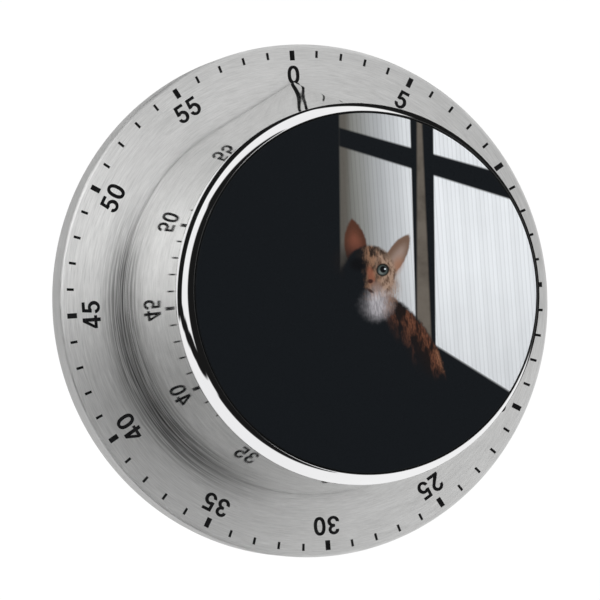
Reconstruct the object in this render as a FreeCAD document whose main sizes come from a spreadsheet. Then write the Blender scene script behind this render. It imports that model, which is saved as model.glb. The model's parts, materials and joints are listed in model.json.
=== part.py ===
import FreeCAD, Part

import math
import os
import re

import Sketcher
from fcgear import fcgear, involute

# Magnetic mechanical kitchen timer: a steel dial ring with a tall turning knob, a wind-up
# movement inside, and a disc magnet at the back.  Millimetres.
#
# Every piece is drawn in the dial's own frame: +Z out of the dial face, +Y towards the zero mark,
# the origin on the axis in the plane of the magnet's rear face.  DIAL_UPRIGHT then stands the
# finished timer up, so that the face looks along -Y and the zero mark is at +Z.

Vector = FreeCAD.Vector
DIAL_UPRIGHT = FreeCAD.Placement(Vector(0, 0, 0), FreeCAD.Rotation(Vector(1, 0, 0), 90))

# Driving dimensions, one cell each in the sheet.
SIZES = {
    # magnet and back cover
    "magnet_radius": 16.0,
    "magnet_thickness": 3.0,
    "yoke_thickness": 0.6,
    "magnet_proud": 0.3,
    "magnet_gap": 0.15,
    "cover_thickness": 1.5,
    "cup_floor": 1.0,
    "cup_wall": 1.2,
    "cover_gap": 0.1,
    "slot_count": 24,
    "slot_width": 1.2,
    "slot_length": 4.0,
    "slot_margin": 0.8,
    # dial ring
    "case_diameter": 76.0,
    "ring_wall": 0.6,
    "ring_depth": 4.9,
    "ring_reveal": 0.9,
    "ring_edge_radius": 0.55,
    "ring_gap": 0.2,
    # housing
    "housing_wall": 1.6,
    "ceiling_thickness": 1.6,
    "ceiling_hole_gap": 0.9,
    "spacer_length": 0.6,
    "spacer_radius": 2.3,
    "boss_radius": 2.6,
    "case_screw_radius": 1.1,
    "case_screw_head_radius": 2.1,
    "case_screw_length": 4.2,
    "pilot_margin": 0.3,
    "screw_gap": 0.08,
    # knob
    "knob_gap": 0.4,
    "shell_height": 22.0,
    "knob_flare": 1.6,
    "pointer_reach": 3.7,
    "shell_wall": 0.6,
    "glue_gap": 0.05,
    "hub_wall": 1.4,
    "tower_gap": 0.45,
    "hub_rise": 1.8,
    "boss_lift": 0.6,
    "hub_boss_radius": 5.0,
    "bore_gap": 0.04,
    # bezel and picture disc
    "bezel_side": 0.6,
    "bezel_height": 4.1,
    "bezel_slope_width": 1.36,
    "bezel_lip": 0.25,
    "bezel_shoulder_round": 2.0,
    "bezel_lip_round": 0.3,
    "bezel_ledge": 3.0,
    "disc_thickness": 1.9,
    "disc_gap": 0.05,
    "disc_proud": 0.1,
    "disc_round": 0.25,
    # movement plates
    "plate_thickness": 0.8,
    "plate_spacing": 8.6,
    "plate_edge_gap": 0.8,
    "train_edge_gap": 1.4,
    "pillar_radius": 1.5,
    "pillar_inset": 1.7,
    "small_screw_radius": 0.7,
    "small_head_radius": 1.5,
    "small_head_height": 0.7,
    "small_screw_grip": 2.4,
    # arbors
    "arbor_radius": 2.5,
    "arbor_flat": 1.8,
    "arbor_end_gap": 0.5,
    "rear_pivot_radius": 1.5,
    "pivot_radius": 0.5,
    "thin_arbor_radius": 0.8,
    "pivot_gap": 0.05,
    "shake": 0.15,
    "press_gap": 0.02,
    "bush_wall": 1.0,
    "bush_flange": 1.0,
    "bush_flange_thickness": 0.4,
    # going train
    "great_module": 0.4,
    "second_module": 0.35,
    "third_module": 0.3,
    "great_teeth": 56,
    "second_teeth": 48,
    "third_teeth": 40,
    "pinion_teeth": 8,
    "escape_teeth": 18,
    "mesh_gap": 0.06,
    "wheel_thickness": 0.7,
    "pinion_margin": 0.25,
    "wheel_step": 0.6,
    "axial_gap": 0.2,
    "wheel_arms": 5,
    "arm_share": 0.12,
    "rim_modules": 3.5,
    "wheel_hub_ratio": 2.4,
    "second_angle": 120,
    "escape_step": 1.5,
    "escape_radius": 4.0,
    "escape_tooth_depth": 0.95,
    # winding ratchet
    "ratchet_rim": 0.5,
    "ratchet_teeth": 12,
    "ratchet_tooth_depth": 0.6,
    "ratchet_thickness": 0.6,
    "ratchet_lean": 0.4,
    "great_hub_margin": 0.6,
    "click_rivet_radius": 0.35,
    "click_root_radius": 0.8,
    "click_tip_radius": 0.25,
    "click_tip_gap": 0.4,
    "click_tip_angle": 24,
    "click_spring_offset": 1.2,
    "click_spring_start_angle": 55,
    "click_spring_end_angle": 22,
    "click_spring_foot": 0.4,
    "click_spring_tip": 0.15,
    "click_spring_thickness": 0.3,
    # mainspring
    "spring_gap": 0.6,
    "spring_outer_radius": 8.6,
    "spring_turns": 6,
    "spring_strip": 0.25,
    "spring_width": 3.2,
    # verge
    "verge_distance": 5.6,
    "verge_angle": -40,
    "verge_pin_radius": 0.15,
    "verge_pin_gap": 0.1,
    "verge_pin_angle": 35,
    "verge_thickness": 0.5,
    "verge_lift": 0.3,
    "verge_hub_ratio": 2.0,
    "verge_arm_root": 1.0,
    "verge_arm_tip": 0.5,
    "weight_reach": 3.6,
    "weight_thickness": 1.0,
    "weight_root": 1.3,
    "weight_tip": 0.9,
    # alarm
    "cam_radius": 6.2,
    "cam_notch_depth": 1.6,
    "cam_notch_half_width": 1.8,
    "cam_thickness": 0.8,
    "cam_setback": 0.1,
    "cam_notch_mouth": 0.5,
    "lever_gap": 0.2,
    "lever_finger_radius": 0.5,
    "lever_margin": 0.4,
    "lever_drop": 2.0,
    "lever_root_radius": 1.6,
    "lever_elbow_radius": 0.8,
    "lever_elbow_shift": 0.5,
    "lever_elbow_drop": 1.4,
    "gong_clearance": 0.6,
    "gong_height": 3.6,
    "gong_wall": 0.8,
    "gong_shoulder": 2.0,
    "gong_bend_ratio": 0.41,
    "hammer_room": 7.0,
    "hammer_gap": 1.6,
    "hammer_radius": 1.6,
    "hammer_height": 2.4,
    "hammer_lift": 0.2,
    "hammer_arm_lift": 0.9,
    "hammer_arm_thickness": 0.8,
    "hammer_arm_root": 1.6,
    "hammer_arm_tip": 1.0,
    "hammer_pin_radius": 0.6,
    "hammer_inset": 3.4,
    "hammer_angle": -40,
    "hammer_head_angle": -5,
    "post_length": 1.2,
    "post_radius": 3.0,
    "washer_thickness": 0.4,
}

# Lengths and places worked out from the driving dimensions, as sheet expressions.
DERIVED = {
    # heights, from the magnet's rear face towards the front
    "cover_front": "magnet_proud + cover_thickness",
    "yoke_front": "magnet_thickness + yoke_thickness",
    "cup_front": "yoke_front + cup_floor",
    "housing_back": "cover_front + cover_gap",
    "ring_back": "magnet_proud + ring_reveal",
    "ring_face": "ring_back + ring_depth",
    "flange_front": "ring_face - ring_wall - cover_gap",
    "flange_back": "flange_front - housing_wall",
    "knob_back": "ring_face + knob_gap",
    "shell_front": "knob_back + shell_height",
    "hub_front": "shell_front + hub_rise",
    "hub_under": "hub_front - hub_wall",
    "bezel_front": "shell_front + bezel_height",
    "disc_back": "bezel_front - disc_thickness",
    "gong_rim": "cup_front + gong_clearance",
    "gong_front": "gong_rim + gong_height",
    "back_plate_back": "gong_front + post_length",
    "back_plate_front": "back_plate_back + plate_thickness",
    "front_plate_back": "back_plate_front + plate_spacing",
    "front_plate_front": "front_plate_back + plate_thickness",
    "ceiling": "front_plate_front + spacer_length",
    "tower_front": "ceiling + ceiling_thickness",
    "boss_back": "tower_front + boss_lift",
    "ratchet_back": "back_plate_front + axial_gap",
    "great_back": "ratchet_back + ratchet_thickness + axial_gap",
    "second_back": "great_back + wheel_thickness + wheel_step",
    "third_back": "second_back + wheel_thickness + wheel_step",
    "cam_back": "third_back - cam_setback",
    "escape_back": "third_back + wheel_thickness + wheel_step",
    "spring_back": "cam_back + cam_thickness + wheel_step / 2",
    "arbor_front": "hub_under - arbor_end_gap",
    "verge_back": "escape_back + wheel_thickness + verge_lift",
    "weight_back": "verge_back + verge_thickness + verge_lift",
    # the train in plan
    "great_tip": "(great_teeth / 2 + 1) * great_module",
    "third_pinion_tip": "(pinion_teeth / 2 + 1) * second_module",
    "third_reach": "great_tip + third_pinion_tip + shake",
    "escape_reach": "third_reach + escape_step",
    "second_reach": "(great_teeth + pinion_teeth) * great_module / 2 + mesh_gap",
    "second_link": "(second_teeth + pinion_teeth) * second_module / 2 + mesh_gap",
    "third_link": "(third_teeth + pinion_teeth) * third_module / 2 + mesh_gap",
    "second_tip": "(second_teeth / 2 + 1) * second_module",
    # radii, from the movement outwards
    "movement_radius": "second_reach + second_tip + train_edge_gap",
    "plate_radius": "movement_radius - plate_edge_gap",
    "pillar_circle": "plate_radius - pillar_inset",
    "tower_radius": "movement_radius + housing_wall",
    "knob_top_radius": "tower_radius + tower_gap + hub_wall + glue_gap + shell_wall",
    "knob_base_radius": "knob_top_radius + knob_flare",
    "pointer_radius": "knob_base_radius + pointer_reach",
    "case_radius": "case_diameter / 2",
    "case_inner": "case_radius - ring_wall - cover_gap",
    "screw_circle": "(tower_radius + case_inner - housing_wall) / 2",
    "disc_radius": "knob_top_radius - bezel_slope_width - bezel_lip - disc_gap",
    "hub_top_radius": "knob_top_radius - shell_wall - glue_gap",
    "hub_base_radius": "knob_base_radius - shell_wall - glue_gap",
    "gong_radius": "movement_radius - hammer_room",
    "cup_radius": "magnet_radius + magnet_gap + cup_wall",
    "slot_circle": "movement_radius - slot_margin - slot_length / 2",
    "ratchet_radius": "arbor_radius + ratchet_rim + ratchet_tooth_depth",
    "spring_inner_radius": "arbor_radius + spring_gap",
    "ceiling_hole_radius": "arbor_radius + ceiling_hole_gap",
    "bush_inner": "arbor_radius + pivot_gap",
    "bush_outer": "bush_inner + bush_wall",
    "ring_inner": "tower_radius + ring_gap",
    "small_hole": "small_screw_radius + screw_gap",
    "bezel_inner": "disc_radius + disc_gap",
    # bearings and places of the arbors around the dial's axis
    "second_bearing": "second_angle * 1deg",
    "third_turn": "acos((second_reach^2 + third_reach^2 - second_link^2)"
    " / (2 * second_reach * third_reach))",
    "escape_turn": "acos((third_reach^2 + escape_reach^2 - third_link^2)"
    " / (2 * third_reach * escape_reach))",
    "third_bearing": "second_bearing - third_turn",
    "escape_bearing": "third_bearing - escape_turn",
    "second_x": "second_reach * cos(second_bearing)",
    "second_y": "second_reach * sin(second_bearing)",
    "third_x": "third_reach * cos(third_bearing)",
    "third_y": "third_reach * sin(third_bearing)",
    "escape_x": "escape_reach * cos(escape_bearing)",
    "escape_y": "escape_reach * sin(escape_bearing)",
    "verge_x": "escape_x + verge_distance * cos(verge_angle * 1deg)",
    "verge_y": "escape_y + verge_distance * sin(verge_angle * 1deg)",
    "lever_x": "-(great_tip + lever_margin)",
    "lever_y": "-(cam_radius + lever_drop)",
    "hammer_x": "(plate_radius - hammer_inset) * cos(hammer_angle * 1deg)",
    "hammer_y": "(plate_radius - hammer_inset) * sin(hammer_angle * 1deg)",
}

CASE_SCREW_ANGLES = (30, 150, 270)
PILLAR_ANGLES = (60, 180, 300)

# Proportions of screw slots, saw teeth and the coil's steps.
SLOT_WIDTH_SHARE, SLOT_DEPTH_SHARE = 0.3, 0.5
CROSS_WIDTH_SHARE, CROSS_DEPTH_SHARE, CROSS_REACH_SHARE = 0.5, 0.7, 1.2
SAW_TIP_SHARE = 0.05
SPRING_STEPS_PER_TURN = 12
TOLERANCE = 1e-4

document = FreeCAD.newDocument("kitchen_timer")
sheet = document.addObject("Spreadsheet::Sheet", "Sizes")
for row, (alias, number) in enumerate(SIZES.items(), start=1):
    sheet.set(f"A{row}", alias)
    sheet.set(f"B{row}", str(number))
    sheet.setAlias(f"B{row}", alias)
document.recompute()

sub_parts = []


# ---------------------------------------------------------------- expressions and placement


def expand(text):
    """Rewrites named lengths as a sheet expression."""

    def replace(match):
        word = match.group(0)
        if word in DERIVED:
            return "(" + expand(DERIVED[word]) + ")"
        if word in SIZES:
            return "Sizes." + word
        return word

    return re.sub(r"[a-z_]+", replace, str(text))


def value(text):
    """The number that a named length or an expression of them stands for."""
    return float(sheet.evalExpression(expand(text)))


def polar(radius, degrees):
    """A point in the dial plane."""
    angle = math.radians(degrees)
    return Vector(radius * math.cos(angle), radius * math.sin(angle), 0)


def bearing(start, end):
    """The direction in degrees from one point of the dial plane to another."""
    return math.degrees(math.atan2(end.y - start.y, end.x - start.x))


def stand_up(piece, at=Vector(0, 0, 0), own=FreeCAD.Placement()):
    """Places a piece drawn about its own axis at a point of the dial, in the upright frame."""
    in_dial = FreeCAD.Placement(at, FreeCAD.Rotation()).multiply(own)
    piece.Placement = DIAL_UPRIGHT.multiply(in_dial)
    sub_parts.append(piece)


# ---------------------------------------------------------------- PartDesign helpers


def new_body(label):
    body = document.addObject("PartDesign::Body", label)
    body.Label = label
    stand_up(body)
    return body


def new_sketch(body, plane, height="0"):
    """A sketch on one of the body's origin planes, lifted along the plane's normal."""
    sketch = body.newObject("Sketcher::SketchObject", body.Name + "_sketch")
    origin_plane = [item for item in body.Origin.OriginFeatures if item.Role == plane][0]
    sketch.AttachmentSupport = [(origin_plane, "")]
    sketch.MapMode = "FlatFace"
    if height != "0":
        sketch.setExpression(".AttachmentOffset.Base.z", expand(height))
    return sketch


def pin_coordinate(sketch, kind, item, end, expression):
    """Ties one coordinate of a sketch point to an expression."""
    number = value(expression)
    if abs(number) < TOLERANCE:
        axis = -2 if kind == "DistanceX" else -1
        sketch.addConstraint(Sketcher.Constraint("PointOnObject", item, end, axis))
        return
    if number > 0:
        constraint = Sketcher.Constraint(kind, -1, 1, item, end, number)
        bound = expand(expression)
    else:
        constraint = Sketcher.Constraint(kind, item, end, -1, 1, -number)
        bound = "-(" + expand(expression) + ")"
    index = sketch.addConstraint(constraint)
    sketch.setExpression(f"Constraints[{index}]", bound)


def pin_point(sketch, item, end, x, y):
    pin_coordinate(sketch, "DistanceX", item, end, x)
    pin_coordinate(sketch, "DistanceY", item, end, y)


def draw_outline(sketch, points):
    """A closed outline of straight edges through points given as pairs of expressions."""
    corners = [Vector(value(x), value(y), 0) for x, y in points]
    count = len(corners)
    for index in range(count):
        edge = Part.LineSegment(corners[index], corners[(index + 1) % count])
        sketch.addGeometry(edge, False)
    for index in range(count):
        after = (index + 1) % count
        sketch.addConstraint(Sketcher.Constraint("Coincident", index, 2, after, 1))
    for index, (x, y) in enumerate(points):
        pin_point(sketch, index, 1, x, y)


def draw_circle(sketch, x, y, radius):
    circle = Part.Circle(Vector(value(x), value(y), 0), Vector(0, 0, 1), value(radius))
    item = sketch.addGeometry(circle, False)
    pin_point(sketch, item, 3, x, y)
    index = sketch.addConstraint(Sketcher.Constraint("Radius", item, value(radius)))
    sketch.setExpression(f"Constraints[{index}]", expand(radius))


def revolve(body, points, feature="PartDesign::Revolution"):
    """Turns an outline of (radius, height) points about the body's axis."""
    sketch = new_sketch(body, "XZ_Plane")
    draw_outline(sketch, points)
    turned = body.newObject(feature, body.Name + "_turned")
    turned.Profile = sketch
    turned.ReferenceAxis = (sketch, ["V_Axis"])
    turned.Angle = 360
    return turned


def pad_circles(body, circles, back, front):
    """Round pads between two heights, each circle an (x, y, radius) of expressions."""
    sketch = new_sketch(body, "XY_Plane", back)
    for x, y, radius in circles:
        draw_circle(sketch, x, y, radius)
    pad = body.newObject("PartDesign::Pad", body.Name + "_pad")
    pad.Profile = sketch
    pad.setExpression("Length", expand(f"{front} - ({back})"))
    return pad


def cut(body, sketch, depth):
    """A pocket from the sketch's plane towards the back; it has to take material away."""
    document.recompute()
    before = body.Shape.Volume
    pocket = body.newObject("PartDesign::Pocket", body.Name + "_cut")
    pocket.Profile = sketch
    pocket.setExpression("Length", expand(depth))
    document.recompute()
    if body.Shape.Volume > before - TOLERANCE:
        raise RuntimeError(f"{body.Label}: a cut removed nothing")
    return pocket


def drill(body, circles, front, depth):
    """Round holes from a height towards the back."""
    sketch = new_sketch(body, "XY_Plane", front)
    for x, y, radius in circles:
        draw_circle(sketch, x, y, radius)
    return cut(body, sketch, depth)


def on_circle(circle, angles, radius):
    """(x, y, radius) expressions of equal circles spread at angles around a larger circle."""
    return [(f"{circle} * cos({a})", f"{circle} * sin({a})", radius) for a in angles]


def round_edges(shape, radius, height):
    """Names of the round edges of a given radius at a given height."""
    names = []
    for index, edge in enumerate(shape.Edges, start=1):
        curve = edge.Curve
        if not isinstance(curve, Part.Circle):
            continue
        off = max(abs(curve.Radius - radius), abs(curve.Center.z - height))
        if off < TOLERANCE:
            names.append(f"Edge{index}")
    return names


def dress_edge(body, kind, property_name, radius, height, size):
    """Fillets or chamfers the round edges of a given radius at a given height."""
    document.recompute()
    base = body.Tip
    names = round_edges(base.Shape, value(radius), value(height))
    if not names:
        raise RuntimeError(f"{body.Label}: no edge at radius {radius}")
    dressed = body.newObject(kind, body.Name + "_edge")
    dressed.Base = (base, names)
    dressed.setExpression(property_name, expand(size))
    document.recompute()


def fillet(body, radius, height, size):
    dress_edge(body, "PartDesign::Fillet", "Radius", radius, height, size)


def chamfer(body, radius, height, size):
    dress_edge(body, "PartDesign::Chamfer", "Size", radius, height, size)


def turned_piece(label, points):
    body = new_body(label)
    revolve(body, points)
    return body


# ---------------------------------------------------------------- Part helpers


def shape_piece(label, shape, at=Vector(0, 0, 0)):
    """A sub-part whose shape comes from formulas rather than from a sketch."""
    feature = document.addObject("Part::Feature", label)
    feature.Label = label
    own = shape.Placement
    feature.Shape = shape
    stand_up(feature, at, own)
    return feature


def tube(outer, inner, back, front, at=Vector(0, 0, 0)):
    """A plain ring, or a disc where the inner radius is zero."""
    base = Vector(at.x, at.y, back)
    ring = Part.makeCylinder(outer, front - back, base)
    if inner > 0:
        ring = ring.cut(Part.makeCylinder(inner, front - back, base))
    return ring


def link(start, start_radius, end, end_radius, back, front):
    """A flat arm: two round ends joined by their outer tangents."""
    along = (end - start).normalize()
    lean = math.acos((start_radius - end_radius) / start.distanceToPoint(end))
    heading = math.atan2(along.y, along.x)
    left = Vector(math.cos(heading + lean), math.sin(heading + lean), 0)
    right = Vector(math.cos(heading - lean), math.sin(heading - lean), 0)
    start_left, end_left = start + left * start_radius, end + left * end_radius
    start_right, end_right = start + right * start_radius, end + right * end_radius
    edges = [
        Part.LineSegment(start_left, end_left).toShape(),
        Part.Arc(end_left, end + along * end_radius, end_right).toShape(),
        Part.LineSegment(end_right, start_right).toShape(),
        Part.Arc(start_right, start - along * start_radius, start_left).toShape(),
    ]
    face = Part.Face(Part.Wire(edges))
    face.translate(Vector(0, 0, back))
    return face.extrude(Vector(0, 0, front - back))


def prism(points, back, front):
    """A straight-sided plate through points of the dial plane."""
    closed = [Vector(p.x, p.y, back) for p in points]
    closed.append(closed[0])
    return Part.Face(Part.makePolygon(closed)).extrude(Vector(0, 0, front - back))


def spun(solid, degrees):
    """A copy turned about the dial's axis."""
    return solid.rotated(Vector(0, 0, 0), Vector(0, 0, 1), degrees)


def gear(module, teeth, phase, back, front):
    """An involute spur gear with one tooth centred on the phase angle."""
    builder = fcgear.FCWireBuilder()
    involute.CreateExternalGear(builder, module, int(teeth), 20, False)
    wire = Part.Wire([curve.toShape() for curve in builder.wire])
    solid = Part.Face(wire).extrude(Vector(0, 0, front - back))
    solid.translate(Vector(0, 0, back))
    return spun(solid, phase)


def saw_wheel(tip, depth, teeth, lean, phase, back, front):
    """A wheel of pointed teeth: lean moves each root back from the middle of its gap."""
    pitch = 360 / teeth
    points = []
    for index in range(int(teeth)):
        at = phase + index * pitch
        points.append(polar(tip - depth, at - pitch * (0.5 - lean)))
        points.append(polar(tip, at - pitch * SAW_TIP_SHARE))
        points.append(polar(tip, at + pitch * SAW_TIP_SHARE))
    return prism(points, back, front)


def crossed_out(solid, rim, hub, arms, back, front):
    """Cuts the windows between the arms of a clock wheel."""
    windows = tube(rim, hub, back, front)
    half_arm = (rim - hub) * value("arm_share")
    for index in range(arms):
        arm = Part.makeBox(rim, 2 * half_arm, front - back, Vector(0, -half_arm, back))
        windows = windows.cut(spun(arm, 360 * index / arms))
    return solid.cut(windows)


def mesh_phase(direction, leader_phase, leader_teeth, follower_teeth):
    """Phase of a gear in mesh with a leader that stands behind it along a direction."""
    lead = direction - leader_phase
    return direction + 180 + 180 / follower_teeth + lead * leader_teeth / follower_teeth


def place(name):
    """Where an arbor stands in the dial plane."""
    return Vector(value(name + "_x"), value(name + "_y"), 0)


def slotted_screw(head_radius, head_height, shank_radius, shank_length):
    """A cheese-head screw along +Z: its head's outer face at zero, its shank towards the front."""
    head = Part.makeCylinder(head_radius, head_height)
    shank = Part.makeCylinder(shank_radius, shank_length, Vector(0, 0, head_height))
    width, depth = head_radius * SLOT_WIDTH_SHARE, head_height * SLOT_DEPTH_SHARE
    slot = Part.makeBox(2 * head_radius, width, depth, Vector(-head_radius, -width / 2, 0))
    return head.fuse(shank).removeSplitter().cut(slot)


def around(solid, radius, angles, back):
    """A group of equal solids spread around the axis, each standing at a height."""
    group = []
    for angle in angles:
        at = polar(radius, angle)
        group.append(solid.translated(Vector(at.x, at.y, back)))
    return Part.makeCompound(group)


# ---------------------------------------------------------------- case


def make_magnet():
    radius, thickness = "magnet_radius", "magnet_thickness"
    body = new_body("magnet_disc")
    pad_circles(body, [("0", "0", radius)], "0", thickness)
    chamfer(body, radius, "0", "magnet_gap")
    body = new_body("magnet_yoke")
    pad_circles(body, [("0", "0", radius)], thickness, "yoke_front")


def make_back_cover():
    recess = "magnet_radius + magnet_gap"
    body = turned_piece(
        "back_cover",
        [
            (recess, "magnet_proud"),
            ("case_inner", "magnet_proud"),
            ("case_inner", "cover_front"),
            ("cup_radius", "cover_front"),
            ("cup_radius", "cup_front"),
            ("0", "cup_front"),
            ("0", "yoke_front"),
            (recess, "yoke_front"),
        ],
    )
    fillet(body, "case_inner", "magnet_proud", "ring_edge_radius")
    hole = "case_screw_radius + screw_gap"
    holes = on_circle("screw_circle", CASE_SCREW_ANGLES, hole)
    drill(body, holes, "cover_front", "cover_thickness")
    chamfer(body, hole, "magnet_proud", "case_screw_head_radius - case_screw_radius")
    slots = new_sketch(body, "XY_Plane", "cover_front")
    near, far = "slot_circle - slot_length / 2", "slot_circle + slot_length / 2"
    low, high = "-slot_width / 2", "slot_width / 2"
    draw_outline(slots, [(near, low), (far, low), (far, high), (near, high)])
    slot = cut(body, slots, "cover_thickness")
    pattern = body.newObject("PartDesign::PolarPattern", "back_cover_slots")
    pattern.Originals = [slot]
    pattern.Axis = (slots, ["N_Axis"])
    pattern.Angle = 360
    pattern.setExpression("Occurrences", expand("slot_count"))
    body.Tip = pattern


def make_dial_ring():
    under, inside = "ring_face - ring_wall", "case_radius - ring_wall"
    body = turned_piece(
        "dial_ring",
        [
            ("case_radius", "ring_back"),
            ("case_radius", "ring_face"),
            ("ring_inner", "ring_face"),
            ("ring_inner", under),
            (inside, under),
            (inside, "ring_back"),
        ],
    )
    fillet(body, "case_radius", "ring_face", "ring_edge_radius")


def make_housing():
    skirt_inner = "case_inner - housing_wall"
    body = turned_piece(
        "movement_housing",
        [
            ("ceiling_hole_radius", "tower_front"),
            ("tower_radius", "tower_front"),
            ("tower_radius", "flange_front"),
            ("case_inner", "flange_front"),
            ("case_inner", "housing_back"),
            (skirt_inner, "housing_back"),
            (skirt_inner, "flange_back"),
            ("tower_radius", "flange_back"),
            ("tower_radius", "housing_back"),
            ("movement_radius", "housing_back"),
            ("movement_radius", "ceiling"),
            ("ceiling_hole_radius", "ceiling"),
        ],
    )
    fillet(body, "tower_radius", "tower_front", "housing_wall / 2")
    bosses = on_circle("screw_circle", CASE_SCREW_ANGLES, "boss_radius")
    pad_circles(body, bosses, "housing_back", "flange_front")
    spacers = on_circle("pillar_circle", PILLAR_ANGLES, "spacer_radius")
    pad_circles(body, spacers, "front_plate_front", "ceiling")
    pilots = on_circle("screw_circle", CASE_SCREW_ANGLES, "case_screw_radius + screw_gap")
    pilot_end = "magnet_proud + case_screw_length + pilot_margin"
    drill(body, pilots, pilot_end, f"{pilot_end} - housing_back")
    screws = on_circle("pillar_circle", PILLAR_ANGLES, "small_hole")
    drill(body, screws, "tower_front", "tower_front - front_plate_front")


def make_case_screws():
    """Countersunk cross-head screws that hold the cover to the housing."""
    head, shank = value("case_screw_head_radius"), value("case_screw_radius")
    sink = head - shank
    length = value("case_screw_length")
    solid = Part.makeCone(head, shank, sink)
    solid = solid.fuse(Part.makeCylinder(shank, length - sink, Vector(0, 0, sink)))
    width, depth = shank * CROSS_WIDTH_SHARE, sink * CROSS_DEPTH_SHARE
    reach = shank * CROSS_REACH_SHARE
    for angle in (0, 90):
        slot = Part.makeBox(2 * reach, width, depth, Vector(-reach, -width / 2, 0))
        solid = solid.cut(spun(slot, angle))
    back = value("magnet_proud + screw_gap")
    group = around(solid.removeSplitter(), value("screw_circle"), CASE_SCREW_ANGLES, back)
    shape_piece("case_screws", group)


# ---------------------------------------------------------------- knob


def draw_drop(sketch, radius, tip):
    """A circle drawn out to a point at +Y by its two tangents."""
    across = f"{radius} * sqrt(1 - ({radius} / ({tip}))^2)"
    height = f"({radius})^2 / ({tip})"
    half = math.acos(value(radius) / value(tip))
    circle = Part.Circle(Vector(0, 0, 0), Vector(0, 0, 1), value(radius))
    sketch.addGeometry(Part.ArcOfCircle(circle, math.pi / 2 + half, 2.5 * math.pi - half))
    point = Vector(0, value(tip), 0)
    right = Vector(value(across), value(height), 0)
    left = Vector(-value(across), value(height), 0)
    sketch.addGeometry(Part.LineSegment(right, point))
    sketch.addGeometry(Part.LineSegment(point, left))
    for first, second in ((0, 1), (1, 2), (2, 0)):
        sketch.addConstraint(Sketcher.Constraint("Coincident", first, 2, second, 1))
    sketch.addConstraint(Sketcher.Constraint("Coincident", 0, 3, -1, 1))
    pin_point(sketch, 0, 1, f"-{across}", height)
    pin_coordinate(sketch, "DistanceY", 0, 2, height)
    pin_point(sketch, 1, 2, "0", tip)


def draw_split_circle(sketch, radius, drop_radius, drop_tip):
    """A circle whose arcs face the three edges of the drop below it."""
    across = f"{radius} * sqrt(1 - ({drop_radius} / ({drop_tip}))^2)"
    height = f"{radius} * {drop_radius} / ({drop_tip})"
    half = math.acos(value(drop_radius) / value(drop_tip))
    top = math.pi / 2
    circle = Part.Circle(Vector(0, 0, 0), Vector(0, 0, 1), value(radius))
    sketch.addGeometry(Part.ArcOfCircle(circle, top + half, 2 * math.pi + top - half))
    sketch.addGeometry(Part.ArcOfCircle(circle, top - half, top))
    sketch.addGeometry(Part.ArcOfCircle(circle, top, top + half))
    for item in range(3):
        sketch.addConstraint(Sketcher.Constraint("Coincident", item, 3, -1, 1))
    sketch.addConstraint(Sketcher.Constraint("Coincident", 0, 2, 1, 1))
    sketch.addConstraint(Sketcher.Constraint("Coincident", 1, 2, 2, 1))
    pin_point(sketch, 0, 1, f"-{across}", height)
    pin_coordinate(sketch, "DistanceY", 0, 2, height)
    sketch.addConstraint(Sketcher.Constraint("PointOnObject", 1, 2, -2))
    pin_coordinate(sketch, "DistanceY", 2, 2, height)


def make_knob_shell():
    """The steel skin of the knob: round at the front, drawn out to a pointer at the dial."""
    body = new_body("knob_shell")
    base = new_sketch(body, "XY_Plane", "knob_back")
    draw_drop(base, "knob_base_radius", "pointer_radius")
    top = new_sketch(body, "XY_Plane", "shell_front")
    draw_split_circle(top, "knob_top_radius", "knob_base_radius", "pointer_radius")
    loft = body.newObject("PartDesign::AdditiveLoft", "knob_shell_skin")
    loft.Profile = base
    loft.Sections = [top]
    loft.Ruled = True
    document.recompute()
    solid_volume = body.Shape.Volume
    revolve(
        body,
        [
            ("0", "knob_back"),
            ("knob_base_radius - shell_wall", "knob_back"),
            ("knob_top_radius - shell_wall", "shell_front"),
            ("0", "shell_front"),
        ],
        "PartDesign::Groove",
    )
    document.recompute()
    if body.Shape.Volume > solid_volume / 2:
        raise RuntimeError("knob_shell: the inside was not cut out")


def draw_flatted_circle(sketch, radius, flat):
    """A D outline with its flat towards +X."""
    rise = f"sqrt(({radius})^2 - ({flat})^2)"
    half = math.acos(value(flat) / value(radius))
    circle = Part.Circle(Vector(0, 0, 0), Vector(0, 0, 1), value(radius))
    sketch.addGeometry(Part.ArcOfCircle(circle, half, 2 * math.pi - half))
    low = Vector(value(flat), -value(rise), 0)
    high = Vector(value(flat), value(rise), 0)
    sketch.addGeometry(Part.LineSegment(low, high))
    sketch.addConstraint(Sketcher.Constraint("Coincident", 0, 2, 1, 1))
    sketch.addConstraint(Sketcher.Constraint("Coincident", 1, 2, 0, 1))
    sketch.addConstraint(Sketcher.Constraint("Coincident", 0, 3, -1, 1))
    pin_point(sketch, 0, 1, flat, rise)
    pin_coordinate(sketch, "DistanceX", 0, 2, flat)


def make_knob_hub():
    """The plastic drum inside the skin, with the boss that the arbor drives."""
    body = turned_piece(
        "knob_hub",
        [
            ("0", "hub_front"),
            ("hub_top_radius", "hub_front"),
            ("hub_top_radius", "shell_front"),
            ("hub_base_radius", "knob_back"),
            ("hub_base_radius - hub_wall", "knob_back"),
            ("hub_top_radius - hub_wall", "hub_under"),
            ("hub_boss_radius", "hub_under"),
            ("hub_boss_radius", "boss_back"),
            ("0", "boss_back"),
        ],
    )
    bore = new_sketch(body, "XY_Plane", "hub_under")
    draw_flatted_circle(bore, "arbor_radius + bore_gap", "arbor_flat + bore_gap")
    cut(body, bore, "hub_under - boss_back")


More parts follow.
